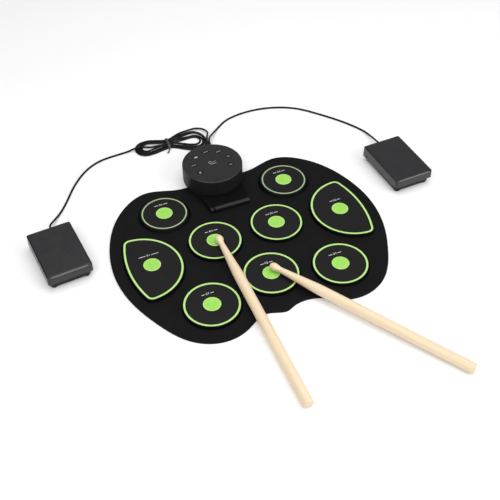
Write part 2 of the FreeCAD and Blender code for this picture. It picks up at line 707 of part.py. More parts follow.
def pedal_base():
    width = PEDAL_WIDTH - 2 * PEDAL_INSET
    length = PEDAL_LENGTH - 2 * PEDAL_INSET
    under = PEDAL_FOOT - 0.4
    outer = prism(rounded_rectangle(width, length, 6.0), under, PEDAL_BASE_TOP)
    outer = soften(outer, under, 1.2)
    inner = prism(rounded_rectangle(width - 4, length - 4, 4.0), PEDAL_FLOOR, 40)
    body = outer.cut(inner)
    for x in (-EAR_X, EAR_X):
        ear = block(x - 1.5, x + 1.5, PEDAL_HINGE_Y - 4, PEDAL_HINGE_Y + 4, PEDAL_FOOT + 1,
                    PEDAL_HINGE_Z + 4)
        body = body.fuse(ear)
    body = body.fuse(disc(0, SPRING_Y, PEDAL_FOOT + 1, PEDAL_FOOT + 4.0, 2.6))
    for x in (-9.0, 9.0):
        body = body.fuse(disc(x, SWITCH_Y, PEDAL_FOOT + 1, 8.0, 1.8))
    body = body.removeSplitter()
    body = body.cut(cylinder_x(-40, 40, PEDAL_HINGE_Y, PEDAL_HINGE_Z, PEDAL_PIN))
    outlet = Part.makeCylinder(3.2, 20, V(PEDAL_CORD_X, length / 2.0 - 10, PEDAL_CORD_Z), V(0, 1, 0))
    recesses = [disc(x, y, 0, PEDAL_FOOT, 5.1) for x, y in pedal_foot_places()]
    return cut(body, [outlet] + recesses)


def pedal_foot_places():
    x = PEDAL_WIDTH / 2.0 - PEDAL_INSET - 6.6
    y = PEDAL_LENGTH / 2.0 - PEDAL_INSET - 6.6
    return [(-x, -y), (x, -y), (-x, y), (x, y)]


def pedal_spring():
    """Round wire spring between the floor and the cover, with closed end coils."""
    wire = 0.5
    radius = 4.0
    low = PEDAL_FLOOR + wire
    high = PEDAL_HEIGHT - PEDAL_WALL - wire - 0.1
    helix = Part.makeHelix((high - low) / 5.0, high - low, radius)
    start = Part.Wire(Part.makeCircle(wire, V(radius, 0, 0), V(0, 1, 0)))
    coil = Part.Wire(helix.Edges).makePipeShell([start], True, True)
    return moved(coil, 0, SPRING_Y, low)


def pedal_relief():
    """Tapered rubber boot around the cord where it leaves the base."""
    y0 = PEDAL_LENGTH / 2.0 - PEDAL_INSET - 4.0
    collar = Part.makeCylinder(4.4, 1.8, V(0, y0, PEDAL_CORD_Z), V(0, 1, 0))
    neck = Part.makeCylinder(3.2, 2.2, V(0, y0 + 1.8, PEDAL_CORD_Z), V(0, 1, 0))
    boot = Part.makeCone(3.2, 2.2, PEDAL_EXIT_Y - y0 - 4.0, V(0, y0 + 4.0, PEDAL_CORD_Z), V(0, 1, 0))
    return moved(joined([collar, neck, boot]), PEDAL_CORD_X)


def make_pedals():
    feet = []
    pins = []
    switches = []
    boards = []
    cover = pedal_cover()
    base = pedal_base()
    spring = pedal_spring()
    relief = pedal_relief()
    pin = cylinder_x(-LUG_X - 2.5, LUG_X + 2.5, PEDAL_HINGE_Y, PEDAL_HINGE_Z, PEDAL_PIN)
    board = block(-12, 12, SWITCH_Y - 7, SWITCH_Y + 7, 8.0, 9.6)
    body = block(-4.0, 4.0, SWITCH_Y - 4, SWITCH_Y + 4, 9.6, 12.6)
    switch = body.fuse(disc(0, SWITCH_Y, 12.6, SWITCH_TOP, 1.75)).removeSplitter()
    foot = disc(0, 0, 0, PEDAL_FOOT, 5.0)
    for side in PEDALS:
        NODES["pedal_cover_%s" % side] = at_pedal(cover, side)
        NODES["pedal_base_%s" % side] = at_pedal(base, side)
        NODES["pedal_spring_%s" % side] = at_pedal(spring, side)
        NODES["pedal_relief_%s" % side] = at_pedal(relief, side)
        pins.append(at_pedal(pin, side))
        switches.append(at_pedal(switch, side))
        boards.append(at_pedal(board, side))
        for x, y in pedal_foot_places():
            feet.append(at_pedal(moved(foot, x, y), side))
    NODES["pedal_hinge_pins"] = Part.makeCompound(pins)
    NODES["pedal_switches"] = Part.makeCompound(switches)
    NODES["pedal_boards"] = Part.makeCompound(boards)
    NODES["pedal_feet"] = Part.makeCompound(feet)


# ---- cords ---------------------------------------------------------------------------------
def pedal_exit(side, reach):
    """Point on a pedal boot's axis, at a distance behind the pedal's centre."""
    x, y, degrees = PEDALS[side]
    a = math.radians(degrees)
    x += PEDAL_CORD_X * math.cos(a) - reach * math.sin(a)
    y += PEDAL_CORD_X * math.sin(a) + reach * math.cos(a)
    return (x, y, PEDAL_CORD_Z)


def plug_exit(side_x, reach):
    """Point on one cord's axis in the plug, at a distance from the module's centre."""
    a = math.radians(PEDAL_JACK_DEG)
    x = side_x * math.cos(a) + reach * math.sin(a)
    y = -side_x * math.sin(a) + reach * math.cos(a)
    return (x, MODULE_Y + y, JACK_Z)


def pedal_lead(side):
    return [pedal_exit(side, PEDAL_EXIT_Y), pedal_exit(side, PEDAL_EXIT_Y + CORD_LEAD)]


def plug_lead(side_x):
    return [plug_exit(side_x, PLUG_END), plug_exit(side_x, PLUG_END + CORD_LEAD)]


def make_plug():
    pin = jack_nose(JACK_BORE - 0.1, 35.0, MODULE_RADIUS + 0.6)
    grip = jack_nose(4.6, MODULE_RADIUS + 0.6, 67.0)
    boot = Part.makeCone(4.6, 3.6, PLUG_END - 67.0, V(0, 67.0, JACK_Z), V(0, 1, 0))
    NODES["pedal_plug"] = at_module(joined([pin, grip, boot]), PEDAL_JACK_DEG)


def make_cords():
    make_plug()
    routes = {
        "cord_left_run": pedal_lead("left") + LEFT_RUN,
        "cord_left_plug_end": PLUG_RUN + plug_lead(-PLUG_CORD_X)[::-1],
        "cord_right_run": plug_lead(PLUG_CORD_X) + RIGHT_RUN + pedal_lead("right")[::-1],
    }
    for name, points in routes.items():
        NODES[name] = cord_tube(name, points)
    hank = prism(rounded_outline(HANK_OUTLINE), 0.1, HANK_HEIGHT)
    hank = soften(hank, HANK_HEIGHT, 2.0)
    tie_hole = block(TIE_X - TIE_HALF_WIDTH, TIE_X + TIE_HALF_WIDTH, 200, 320, -1, 20)
    waist = block(TIE_X - 4, TIE_X + 4, TIE_Y[0] + 1.2, TIE_Y[1] - 1.2, 1.0, WAIST_HEIGHT)
    NODES["cord_left_hank"] = hank.cut(tie_hole).fuse(waist).removeSplitter()
    tie = block(TIE_X - TIE_HALF_WIDTH, TIE_X + TIE_HALF_WIDTH, TIE_Y[0], TIE_Y[1], 0.1,
                WAIST_HEIGHT + 0.8)
    NODES["hank_tie"] = tie.cut(waist)


# ---- drumsticks ----------------------------------------------------------------------------
def stick():
    """Drawn along +X from the tip, turned about its own axis."""
    bead = 5.9
    neck = 4.2
    neck_at = 18.0
    full_at = 84.0
    length = STICK_LENGTH
    r = STICK_RADIUS
    crown = 3.0
    points = [V(0, 0, 0), V(crown, 0, bead * 0.82), V(7.8, 0, bead), V(neck_at - 3.5, 0, neck + 0.5)]
    outline = Part.BSplineCurve()
    outline.interpolate(Points=points + [V(neck_at, 0, neck)])
    edges = [
        outline.toShape(),
        Part.LineSegment(V(neck_at, 0, neck), V(full_at, 0, r)).toShape(),
        Part.LineSegment(V(full_at, 0, r), V(length - crown, 0, r)).toShape(),
        Part.Arc(V(length - crown, 0, r), V(length - 0.9, 0, r - 0.9), V(length, 0, r - crown)).toShape(),
        Part.LineSegment(V(length, 0, r - crown), V(length, 0, 0)).toShape(),
        Part.LineSegment(V(length, 0, 0), V(0, 0, 0)).toShape(),
    ]
    return Part.Face(Part.Wire(edges)).revolve(V(0, 0, 0), V(1, 0, 0), 360)


def make_sticks():
    wood = stick()
    for side, (x, y, z, heading) in STICKS.items():
        butt_z = STICK_RADIUS + STICK_LIFT
        pitch = math.degrees(math.asin((z - butt_z) / STICK_LENGTH))
        placed = wood.copy()
        placed.rotate(V(0, 0, 0), V(0, 1, 0), pitch)
        placed.rotate(V(0, 0, 0), UP, heading)
        NODES["drumstick_%s" % side] = moved(placed, x, y, z + STICK_LIFT)


# ---- write ---------------------------------------------------------------------------------
def main():
    make_mat()
    make_pads()
    make_link()
    make_module()
    make_pedals()
    make_cords()
    make_sticks()
    os.makedirs("parts", exist_ok=True)
    for name, shape in NODES.items():
        solids = len(shape.Solids)
        if not shape.isValid() or solids < 1:
            print("CHECK", name, "valid", shape.isValid(), "solids", solids)
        shape.exportStep("parts/%s.step" % name)
    print(len(NODES), "nodes")


main()
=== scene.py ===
import math

import bmesh
import bpy
from mathutils import Matrix, Quaternion, Vector, noise


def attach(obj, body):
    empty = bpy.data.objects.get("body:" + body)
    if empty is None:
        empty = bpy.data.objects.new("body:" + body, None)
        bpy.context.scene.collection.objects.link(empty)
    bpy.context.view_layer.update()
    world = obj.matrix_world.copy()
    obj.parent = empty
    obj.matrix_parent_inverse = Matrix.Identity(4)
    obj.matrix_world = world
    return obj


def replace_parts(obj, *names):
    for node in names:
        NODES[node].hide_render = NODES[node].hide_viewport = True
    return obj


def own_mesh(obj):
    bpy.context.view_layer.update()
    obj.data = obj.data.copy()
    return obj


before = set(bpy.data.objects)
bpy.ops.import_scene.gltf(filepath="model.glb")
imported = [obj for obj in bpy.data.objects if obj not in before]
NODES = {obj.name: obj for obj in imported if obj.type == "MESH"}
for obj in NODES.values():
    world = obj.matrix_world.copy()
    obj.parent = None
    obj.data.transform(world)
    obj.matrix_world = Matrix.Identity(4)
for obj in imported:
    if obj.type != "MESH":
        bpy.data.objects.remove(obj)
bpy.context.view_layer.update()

# Looks of a roll-up electronic drum kit, in metres, in the CAD model's frame:
# +X right, +Y from the player to the sound module, +Z up, floor at 0.

MM = 0.001
ROOT = "kit"
FLOOR_Z = 0.0


def mm(*values):
    return Vector(values) * MM


# ---- camera --------------------------------------------------------------------------------
LOOK_AT = mm(-10.8, -23.9, 8.0)
CAMERA_DISTANCE = 1.27
CAMERA_AZIMUTH = -22.56
CAMERA_ELEVATION = 45.33
CAMERA_ROLL = -0.51
CAMERA_LENS = 60.87
CAMERA_SENSOR = 36.0


def make_camera():
    a = math.radians(CAMERA_AZIMUTH)
    e = math.radians(CAMERA_ELEVATION)
    back = Vector((math.sin(a) * math.cos(e), -math.cos(a) * math.cos(e), math.sin(e)))
    data = bpy.data.cameras.new("camera")
    data.lens = CAMERA_LENS
    data.sensor_width = CAMERA_SENSOR
    camera = bpy.data.objects.new("camera", data)
    bpy.context.scene.collection.objects.link(camera)
    camera.location = LOOK_AT + back * CAMERA_DISTANCE
    camera.rotation_mode = "QUATERNION"
    roll = Quaternion((0, 0, 1), math.radians(CAMERA_ROLL))
    camera.rotation_quaternion = (-back).to_track_quat("-Z", "Y") @ roll
    bpy.context.scene.camera = camera


# ---- cords ---------------------------------------------------------------------------------
CORD = 3.2
REST_Z = CORD / 2.0 + 0.05
MODULE_Y = 158.5
JACK_Z = 13.0
PEDAL_JACK_DEG = 16.0
PLUG_END = 85.0
PLUG_CORD_X = 1.75
# straight cord behind the plug and behind each pedal boot
CORD_LEAD = 10.0
PEDAL_LEAD = 5.0
PEDAL_CORD_Z = 9.4
PEDAL_CORD_X = 6.0
PEDAL_EXIT_Y = 64.0
PEDALS = {
    "left": (-276.6, 72.8, 4.7),
    "right": (288.4, 59.6, 2.6),
}

LEFT_RUN = [
    (-273.7, 149.4, 8.3),
    (-264.5, 160.6, 5.2),
    (-252.0, 176.2, REST_Z),
    (-238.0, 195.5, REST_Z),
    (-215.5, 232.5, REST_Z),
    (-188.5, 262.5, REST_Z),
    (-160.0, 278.0, REST_Z),
    (-131.0, 281.0, REST_Z),
]
PLUG_RUN = [
    (4.0, 295.5, 3.6),
    (18.5, 297.0, 3.4),
    (31.0, 290.0, 3.6),
    (35.5, 275.5, 5.4),
    (30.0, 262.5, 9.6),
]
RIGHT_RUN = [
    (36.8, 260.5, 8.8),
    (46.8, 272.5, 4.4),
    (60.0, 285.5, REST_Z),
    (78.0, 299.0, REST_Z),
    (103.0, 306.0, REST_Z),
    (131.0, 307.8, REST_Z),
    (160.0, 304.2, REST_Z),
    (189.0, 294.0, REST_Z),
    (214.5, 277.5, REST_Z),
    (237.5, 251.5, REST_Z),
    (259.0, 225.0, REST_Z),
    (277.0, 198.5, REST_Z),
    (289.8, 173.5, REST_Z),
    (290.9, 159.5, 3.8),
    (290.4, 146.2, 7.2),
]

# The tied hank has nine strands, counted from the near side. It starts in the middle one and
# winds outwards. Each strand's points run from its left end to its right end; LOW and HIGH
# are the two layers that the strands lie in.
LOW = 1.75
HIGH = 4.45
HANK_ENTRY = [
    (-108.0, 282.2, REST_Z),
    (-100.0, 282.0, 4.2),
    (-92.0, 281.4, 5.7),
    (-84.0, 280.2, 5.7),
]
WAIST_X = -38.5
WAIST_Y = 264.8
WAIST_PITCH = 2.6
# per strand: y at the left shoulder, then (x, y, z) between the waist and its right fold
LEFT_SHOULDER_X = -69.5
LEFT_SHOULDER_Y = [259.6, 262.2, 264.9, 267.6, 278.2, 288.2, 290.9, 293.6, 296.2]
RIGHT_SHOULDER = [
    [(-17.0, 252.0, LOW), (-4.0, 243.0, LOW)],
    [(-17.0, 256.6, 2.6), (-4.0, 248.0, LOW)],
    [(-17.0, 261.3, LOW), (-2.0, 251.8, LOW)],
    [(-17.0, 266.6, 2.6), (-1.0, 257.0, LOW)],
    [(-17.0, 275.6, LOW), (-2.0, 276.4, LOW)],
    [(-17.0, 279.6, 3.0), (-2.0, 280.0, LOW)],
    [(-17.0, 284.2, LOW), (-4.0, 287.8, LOW)],
    [(-17.0, 288.4, 3.0), (-4.0, 291.8, LOW)],
    [(-17.0, 292.2, 3.2), (-8.0, 294.4, 3.6)],
]
# strands that a fold joins: centre x, centre y, reach in x, reach in y, height at its end
RIGHT_FOLDS = {
    (5, 4): (4.4, 266.0, 12.4, 11.2, LOW),
    (6, 3): (5.2, 264.0, 15.9, 16.2, LOW),
    (7, 2): (5.0, 265.4, 18.6, 22.6, HIGH),
    (8, 1): (4.6, 265.0, 21.9, 27.0, LOW),
}
LEFT_FOLDS = {
    (4, 6): (-73.6, 277.9, 10.4, 10.3, LOW),
    (3, 7): (-74.6, 277.9, 13.1, 13.0, LOW),
    (2, 8): (-75.4, 277.9, 15.9, 15.7, LOW),
    (1, 9): (-76.0, 277.9, 18.8, 18.3, LOW),
}
OCTAGON = math.tan(math.radians(22.5))


def pedal_exit(side, reach):
    """Point on a pedal boot's axis, at a distance behind the pedal's centre."""
    x, y, degrees = PEDALS[side]
    a = math.radians(degrees)
    x += PEDAL_CORD_X * math.cos(a) - reach * math.sin(a)
    y += PEDAL_CORD_X * math.sin(a) + reach * math.cos(a)
    return (x, y, PEDAL_CORD_Z)


def plug_exit(side_x, reach):
    """Point on one cord's axis in the plug, at a distance from the module's centre."""
    a = math.radians(PEDAL_JACK_DEG)
    x = side_x * math.cos(a) + reach * math.sin(a)
    y = -side_x * math.sin(a) + reach * math.cos(a)
    return (x, MODULE_Y + y, JACK_Z)


def pedal_lead(side):
    return [pedal_exit(side, PEDAL_EXIT_Y), pedal_exit(side, PEDAL_EXIT_Y + PEDAL_LEAD)]


def plug_lead(side_x):
    return [plug_exit(side_x, PLUG_END), plug_exit(side_x, PLUG_END + CORD_LEAD)]


def strand(number):
    """Points of one strand of the hank, from its left shoulder to its right shoulder."""
    height = LOW if number % 2 else HIGH
    waist_y = WAIST_Y + WAIST_PITCH * (number - 1)
    shoulder_y = LEFT_SHOULDER_Y[number - 1]
    between = 0.45 * waist_y + 0.55 * shoulder_y
    points = [
        (LEFT_SHOULDER_X, shoulder_y, height),
        (-57.0, between, height),
        (WAIST_X - 5.0, waist_y, height),
        (WAIST_X + 5.0, waist_y, height),
    ]
    return points + RIGHT_SHOULDER[number - 1]


def fold(spec, side, upwards, start_z, stop_z):
    """Four points of a half turn: the corners of an octagon round it."""
    x, y, reach_x, reach_y, end_z = spec
    rise = reach_y if upwards else -reach_y
    t = OCTAGON
    return [
        (x + side * reach_x * t, y - rise, (start_z + end_z) / 2.0),
        (x + side * reach_x, y - rise * t, end_z),
        (x + side * reach_x, y + rise * t, end_z),
        (x + side * reach_x * t, y + rise, (stop_z + end_z) / 2.0),
    ]


def hank():
    """Route through the hank, from the entry to the start of the plug's run."""
    points = HANK_ENTRY + strand(5)
    for right, left in zip(RIGHT_FOLDS, LEFT_FOLDS):
        coming, going = right
        back = strand(going)[::-1]
        points += fold(RIGHT_FOLDS[right], 1, False, strand(coming)[-1][2], back[0][2])
        points += back
        onward = strand(left[1])
        points += fold(LEFT_FOLDS[left], -1, True, back[-1][2], onward[0][2])
        points += onward
    return points


def cord_curve(name, points):
    """One smooth open NURBS cord through given control points in millimetres."""
    data = bpy.data.curves.new(name, "CURVE")
    data.dimensions = "3D"
    spline = data.splines.new("NURBS")
    spline.points.add(len(points) - 1)
    for target, point in zip(spline.points, points):
        target.co = (*mm(*point), 1.0)
    spline.order_u = 3
    spline.use_endpoint_u = True
    spline.resolution_u = 8
    data.bevel_depth = CORD / 2.0 * MM
    data.bevel_resolution = 4
    data.use_fill_caps = True
    cord = bpy.data.objects.new(name, data)
    bpy.context.scene.collection.objects.link(cord)
    data.materials.append(FINISH["cord_jacket"])
    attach(cord, ROOT)
    return cord


def make_cords():
    left_points = pedal_lead("left") + LEFT_RUN + hank() + PLUG_RUN + plug_lead(-PLUG_CORD_X)[::-1]
    left = cord_curve("cord_left", left_points)
    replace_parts(left, "cord_left_run", "cord_left_hank", "cord_left_plug_end")
    right_points = pedal_lead("right") + RIGHT_RUN[::-1] + plug_lead(PLUG_CORD_X)[::-1]
    right = cord_curve("cord_right", right_points)
    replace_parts(right, "cord_right_run")
    return left, right


# ---- materials -----------------------------------------------------------------------------
class Finish:
    """A material under construction, with short ways to add and join shader nodes."""

    def __init__(self, name):
        self.material = bpy.data.materials.new(name)
        self.material.use_nodes = True
        self.tree = self.material.node_tree
        self.shader = self.tree.nodes["Principled BSDF"]
        self.place = self.node("ShaderNodeTexCoord").outputs["Object"]

    def feed(self, socket, value):
        if isinstance(value, bpy.types.NodeSocket):
            self.tree.links.new(value, socket)
        else:
            socket.default_value = value

    def node(self, kind, inputs=None, **settings):
        made = self.tree.nodes.new(kind)
        for key, value in settings.items():
            setattr(made, key, value)
        for key, value in (inputs or {}).items():
            self.feed(made.inputs[key], value)
        return made

    def noise(self, scale, detail=2.0, place=None):
        inputs = {"Vector": place or self.place, "Scale": scale, "Detail": detail}
        return self.node("ShaderNodeTexNoise", inputs).outputs["Fac"]

    def stretched(self, scale, place=None):
        inputs = {"Vector": place or self.place, "Scale": scale}
        return self.node("ShaderNodeMapping", inputs).outputs["Vector"]

    def span(self, value, low, high, start=0.3, stop=0.7):
        inputs = {"Value": value, "From Min": start, "From Max": stop, "To Min": low, "To Max": high}
        return self.node("ShaderNodeMapRange", inputs).outputs["Result"]

    def mix(self, factor, first, second):
        made = self.node("ShaderNodeMix", {0: factor, 6: first, 7: second}, data_type="RGBA")
        return made.outputs[2]

    def attribute(self, name):
        return self.node("ShaderNodeAttribute", attribute_name=name)

    def bump(self, height, depth, under=None):
        inputs = {"Height": height, "Distance": depth, "Strength": 1.0}
        if under is not None:
            inputs["Normal"] = under
        return self.node("ShaderNodeBump", inputs).outputs["Normal"]

    def set(self, **sockets):
        names = {"colour": "Base Color", "rough": "Roughness", "normal": "Normal"}
        for key, value in sockets.items():
            self.feed(self.shader.inputs[names.get(key, key.replace("_", " "))], value)


def shade(colour, factor):
    return (*(min(1.0, c * factor) for c in colour), 1.0)


def moulded(name, colour, rough, specular=0.5, grain=900.0, depth=0.05, blotch=0.12, wear_and_highlight=1.3,
            metallic=0.0, coat=0.0):
    """Moulded rubber, plastic or metal: cloudy colour, fine grain, and edges a little lighter, partly as worn
    edges and partly as a painted highlight.
    """
    s = Finish(name)
    cloudy = s.mix(s.span(s.noise(22.0, 3.0), 0.0, 1.0), shade(colour, 1.0 - blotch),
                   shade(colour, 1.0 + blotch))
    edge = s.node("ShaderNodeNewGeometry").outputs["Pointiness"]
    # Lighter on sharp edges: partly worn edges, partly a painted highlight along them.
    worn_and_lit = s.mix(s.span(edge, 0.0, 1.0, 0.52, 0.60), cloudy, shade(colour, wear_and_highlight))
    fine = s.noise(grain, 2.0)
    soft = s.bump(s.noise(60.0, 2.0), 0.05 * MM)
    s.set(
        colour=worn_and_lit,
        rough=s.span(s.noise(70.0, 3.0), rough - 0.05, rough + 0.05),
        normal=s.bump(fine, depth * MM, soft),
        Specular_IOR_Level=specular,
        Metallic=metallic,
    )
    if coat:
        s.set(Coat_Weight=coat, Coat_Roughness=0.2)
    return s.material


def lime(name, colour, highlight_colour):
    """Satin light-storing inlay, painted paler towards its edge as a highlight."""
    s = Finish(name)
    # The rim attribute marks the edge, where the paler colour paints a highlight.
    rim = s.attribute("rim").outputs["Fac"]
    cloudy = s.mix(s.span(s.noise(160.0, 3.0), 0.0, 1.0), shade(colour, 0.93), shade(colour, 1.05))
    s.set(
        colour=s.mix(rim, cloudy, (*highlight_colour, 1.0)),
        rough=s.span(s.noise(90.0), 0.42, 0.56),
        normal=s.bump(s.noise(1500.0), 0.02 * MM),
        Specular_IOR_Level=0.35,
    )
    return s.material


def wood(name):
    """Pale maple under thin lacquer, with grain along the stick."""
    s = Finish(name)
    place = s.attribute("grain_place").outputs["Vector"]
    bands = s.noise(1.0, 4.0, s.stretched((9.0, 190.0, 150.0), place))
    fibres = s.noise(1.0, 3.0, s.stretched((70.0, 2200.0, 2200.0), place))
    flecks = s.noise(1.0, 2.0, s.stretched((110.0, 900.0, 900.0), place))
    colour = s.mix(s.span(bands, 0.0, 1.0), (0.80, 0.66, 0.47, 1.0), (0.74, 0.585, 0.395, 1.0))
    colour = s.mix(s.span(fibres, 0.0, 0.35), colour, (0.65, 0.50, 0.325, 1.0))
    colour = s.mix(s.span(flecks, 0.0, 0.5, 0.66, 0.78), colour, (0.56, 0.41, 0.25, 1.0))
    s.set(
        colour=colour,
        rough=s.span(fibres, 0.36, 0.5),
        normal=s.bump(fibres, 0.03 * MM),
        Specular_IOR_Level=0.4,
        Coat_Weight=0.15,
        Coat_Roughness=0.3,
    )
    return s.material


def printed(name, colour):
    """Thin pale print, slightly uneven."""
    s = Finish(name)
    worn = s.mix(s.span(s.noise(900.0, 3.0), 0.0, 1.0), shade(colour, 0.72), shade(colour, 1.08))
    s.set(colour=worn, rough=s.span(s.noise(300.0), 0.5, 0.65), normal=s.bump(s.noise(2500.0), 0.01 * MM))
    return s.material


def circuit_board(name):
    """Green solder mask with faint raised tracks."""
    s = Finish(name)
    tracks = s.node("ShaderNodeTexBrick", {"Vector": s.place, "Scale": 260.0, "Mortar Size": 0.03,
                                           "Color1": (1, 1, 1, 1), "Color2": (0.8, 0.8, 0.8, 1),
                                           "Mortar": (0, 0, 0, 1)}).outputs["Fac"]
    colour = s.mix(tracks, (0.012, 0.11, 0.04, 1.0), (0.03, 0.20, 0.08, 1.0))
    s.set(colour=colour, rough=s.span(s.noise(80.0), 0.3, 0.42), normal=s.bump(tracks, 0.03 * MM))
    return s.material


def floor_finish(name):
    s = Finish(name)
    colour = s.mix(s.span(s.noise(1.2), 0.0, 1.0), (0.88, 0.88, 0.885, 1.0), (0.90, 0.90, 0.90, 1.0))
    s.set(colour=colour, rough=s.span(s.noise(3.0), 0.85, 0.95), Specular_IOR_Level=0.1)
    return s.material


def make_finishes():
    black = (0.010, 0.010, 0.0105)
    made = {
        "mat_silicone": moulded("mat_silicone", (0.0026, 0.0026, 0.0028), 0.62, 0.115, 1100, 0.045, 0.2),
        "pad_rubber": moulded("pad_rubber", (0.0046, 0.0046, 0.0050), 0.56, 0.19, 1500, 0.04, 0.18, 1.6),
        # The second colour of each lime finish is a paler painted highlight along its edge.
        "lime_inlay": lime("lime_inlay", (0.292, 0.61, 0.09), (0.50, 0.76, 0.27)),
        "lime_ring": lime("lime_ring", (0.39, 0.68, 0.17), (0.58, 0.82, 0.34)),
        "lime_pale": lime("lime_pale", (0.31, 0.42, 0.21), (0.48, 0.58, 0.38)),
        "foam": moulded("foam", (0.03, 0.03, 0.032), 0.9, 0.2, 2600, 0.25, 0.2),
        "film": moulded("film", (0.55, 0.42, 0.20), 0.3, 0.5, 800, 0.01, 0.1),
        "sensor_metal": moulded("sensor_metal", (0.62, 0.46, 0.20), 0.35, 0.5, 1800, 0.02, 0.1, 1.2, 1.0),
        "module_plastic": moulded("module_plastic", (0.0096, 0.0093, 0.0095), 0.48, 0.21, 1800, 0.05, 0.12,
                                  1.9),
        "button_rubber": moulded("button_rubber", (0.0092, 0.0089, 0.0091), 0.50, 0.21, 1700, 0.04, 0.12),
        "black_plastic": moulded("black_plastic", black, 0.4, 0.45, 1500, 0.03),
        "board_green": circuit_board("board_green"),
        "cream_plastic": moulded("cream_plastic", (0.68, 0.62, 0.48), 0.45, 0.5, 1500, 0.03, 0.06, 1.1),
        "steel": moulded("steel", (0.55, 0.55, 0.57), 0.28, 0.5, 2200, 0.015, 0.08, 1.15, 1.0),
        "paper": moulded("paper", (0.02, 0.02, 0.021), 0.85, 0.2, 2400, 0.12, 0.2),
        "cell_foil": moulded("cell_foil", (0.60, 0.60, 0.62), 0.38, 0.5, 500, 0.08, 0.06, 1.1, 1.0),
        "foot_rubber": moulded("foot_rubber", (0.006, 0.006, 0.006), 0.75, 0.2, 1500, 0.06),
        # A strong edge factor here: mostly a painted highlight along the pedal's edges, with a little edge
        # wear.
        "pedal_plastic": moulded("pedal_plastic", (0.0108, 0.0108, 0.0124), 0.30, 0.47, 2000, 0.04, 0.1, 2.4),
        "pedal_base_plastic": moulded("pedal_base_plastic", (0.005, 0.005, 0.0053), 0.45, 0.3, 1900, 0.05),
        "cord_jacket": moulded("cord_jacket", (0.0025, 0.0025, 0.0026), 0.45, 0.18, 1400, 0.02, 0.15),
        # Lighter than the cord jacket: partly the tie's own dark grey, partly a painted highlight along the
        # band.
        "tie_black": moulded("tie_black", (0.03, 0.03, 0.031), 0.26, 0.7, 900, 0.05, 0.15),
        "maple": wood("maple"),
        "print": printed("print", (0.62, 0.66, 0.60)),
        "key_print": printed("key_print", (0.42, 0.41, 0.41)),
        # Near-black, for the groove round each pedal's tread: painted shade.
        "gap": moulded("gap", (0.003, 0.003, 0.003), 0.8, 0.1, 1500, 0.03),
        # A darker copy of the pad rubber, for the pads' sides: painted shade.
        "pad_side": moulded("pad_side", (0.0012, 0.0012, 0.0013), 0.6, 0.06, 1500, 0.04, 0.18, 1.3),
        # Much lighter than the pedal plastic: a painted highlight along the pedals' front top edges.
        "pedal_edge": moulded("pedal_edge", (0.075, 0.075, 0.080), 0.3, 0.9, 2000, 0.03, 0.1, 1.2),
        # Lighter than the module plastic: a painted highlight on the bead round the lid.
        "module_edge_highlight": moulded("module_edge_highlight", (0.022, 0.0215, 0.022), 0.34, 0.55, 1800, 0.03, 0.1, 1.2),
        "link_grey": moulded("link_grey", (0.010, 0.0098, 0.010), 0.42, 0.3, 1800, 0.04, 0.12),
        "link_black": moulded("link_black", (0.0018, 0.0018, 0.0019), 0.62, 0.07, 1500, 0.04, 0.15),
        "floor": floor_finish("floor"),
    }
    return made


def dress_cad_nodes():
    """Give every shown CAD node its procedural finish, by the slot that the record names."""
    for label, node in NODES.items():
        for place in node.material_slots:
            name = place.material.name.split(".")[0]
            place.link = "OBJECT"
            place.material = FINISH["link_black" if label == "link_cover" else name]


# ---- mesh helpers --------------------------------------------------------------------------
def piece(name, vertices, faces, finish, body=ROOT, values=None, smooth=True):
    """A new mesh piece, from points in millimetres in the model's frame."""
    data = bpy.data.meshes.new(name)
    data.from_pydata([mm(*v) for v in vertices], [], faces)
    for key, numbers in (values or {}).items():
        vector = isinstance(numbers[0], (tuple, Vector))
        kind = "FLOAT_VECTOR" if vector else "FLOAT"
        attribute = data.attributes.new(key, kind, "POINT")
        flat = [c for v in numbers for c in v] if vector else numbers
        attribute.data.foreach_set("vector" if vector else "value", flat)
    shape = bmesh.new()
    shape.from_mesh(data)
    bmesh.ops.recalc_face_normals(shape, faces=shape.faces)
    shape.to_mesh(data)
    shape.free()
    if smooth:
        data.polygons.foreach_set("use_smooth", [True] * len(data.polygons))
    data.materials.append(FINISH[finish])
    made = bpy.data.objects.new(name, data)
    bpy.context.scene.collection.objects.link(made)
    if smooth:
        data.set_sharp_from_angle(angle=math.radians(50))
    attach(made, body)
    return made


def stack(loops, cap_first=True, cap_last=True):
    """Vertices and faces of a skin over closed loops that have the same number of points."""
    count = len(loops[0])
    vertices = [point for loop in loops for point in loop]
    faces = []
    for i in range(len(loops) - 1):
        for j in range(count):
            k = (j + 1) % count
            faces.append((i * count + j, i * count + k, (i + 1) * count + k, (i + 1) * count + j))
    if cap_first:
        faces.append(tuple(range(count))[::-1])
    if cap_last:
        start = (len(loops) - 1) * count
        faces.append(tuple(range(start, start + count)))
    return vertices, faces


def circle(x, y, z, radius, count=96):
    turn = 2.0 * math.pi / count
    return [(x + radius * math.cos(i * turn), y + radius * math.sin(i * turn), z) for i in range(count)]


def rounded_box_loop(width, length, radius, z, steps=6):
    """Rounded rectangle about the origin, anticlockwise."""
    points = []
    corners = [(1, -1, -90), (1, 1, 0), (-1, 1, 90), (-1, -1, 180)]
    for sx, sy, start in corners:
        for i in range(steps + 1):
            a = math.radians(start + 90.0 * i / steps)
            x = sx * (width / 2.0 - radius) + radius * math.cos(a)
            y = sy * (length / 2.0 - radius) + radius * math.sin(a)
            points.append((x, y, z))
    return points


def placed(points, x, y, degrees):
    a = math.radians(degrees)
    c = math.cos(a)
    s = math.sin(a)
    return [(x + c * px - s * py, y + s * px + c * py, pz) for px, py, pz in points]


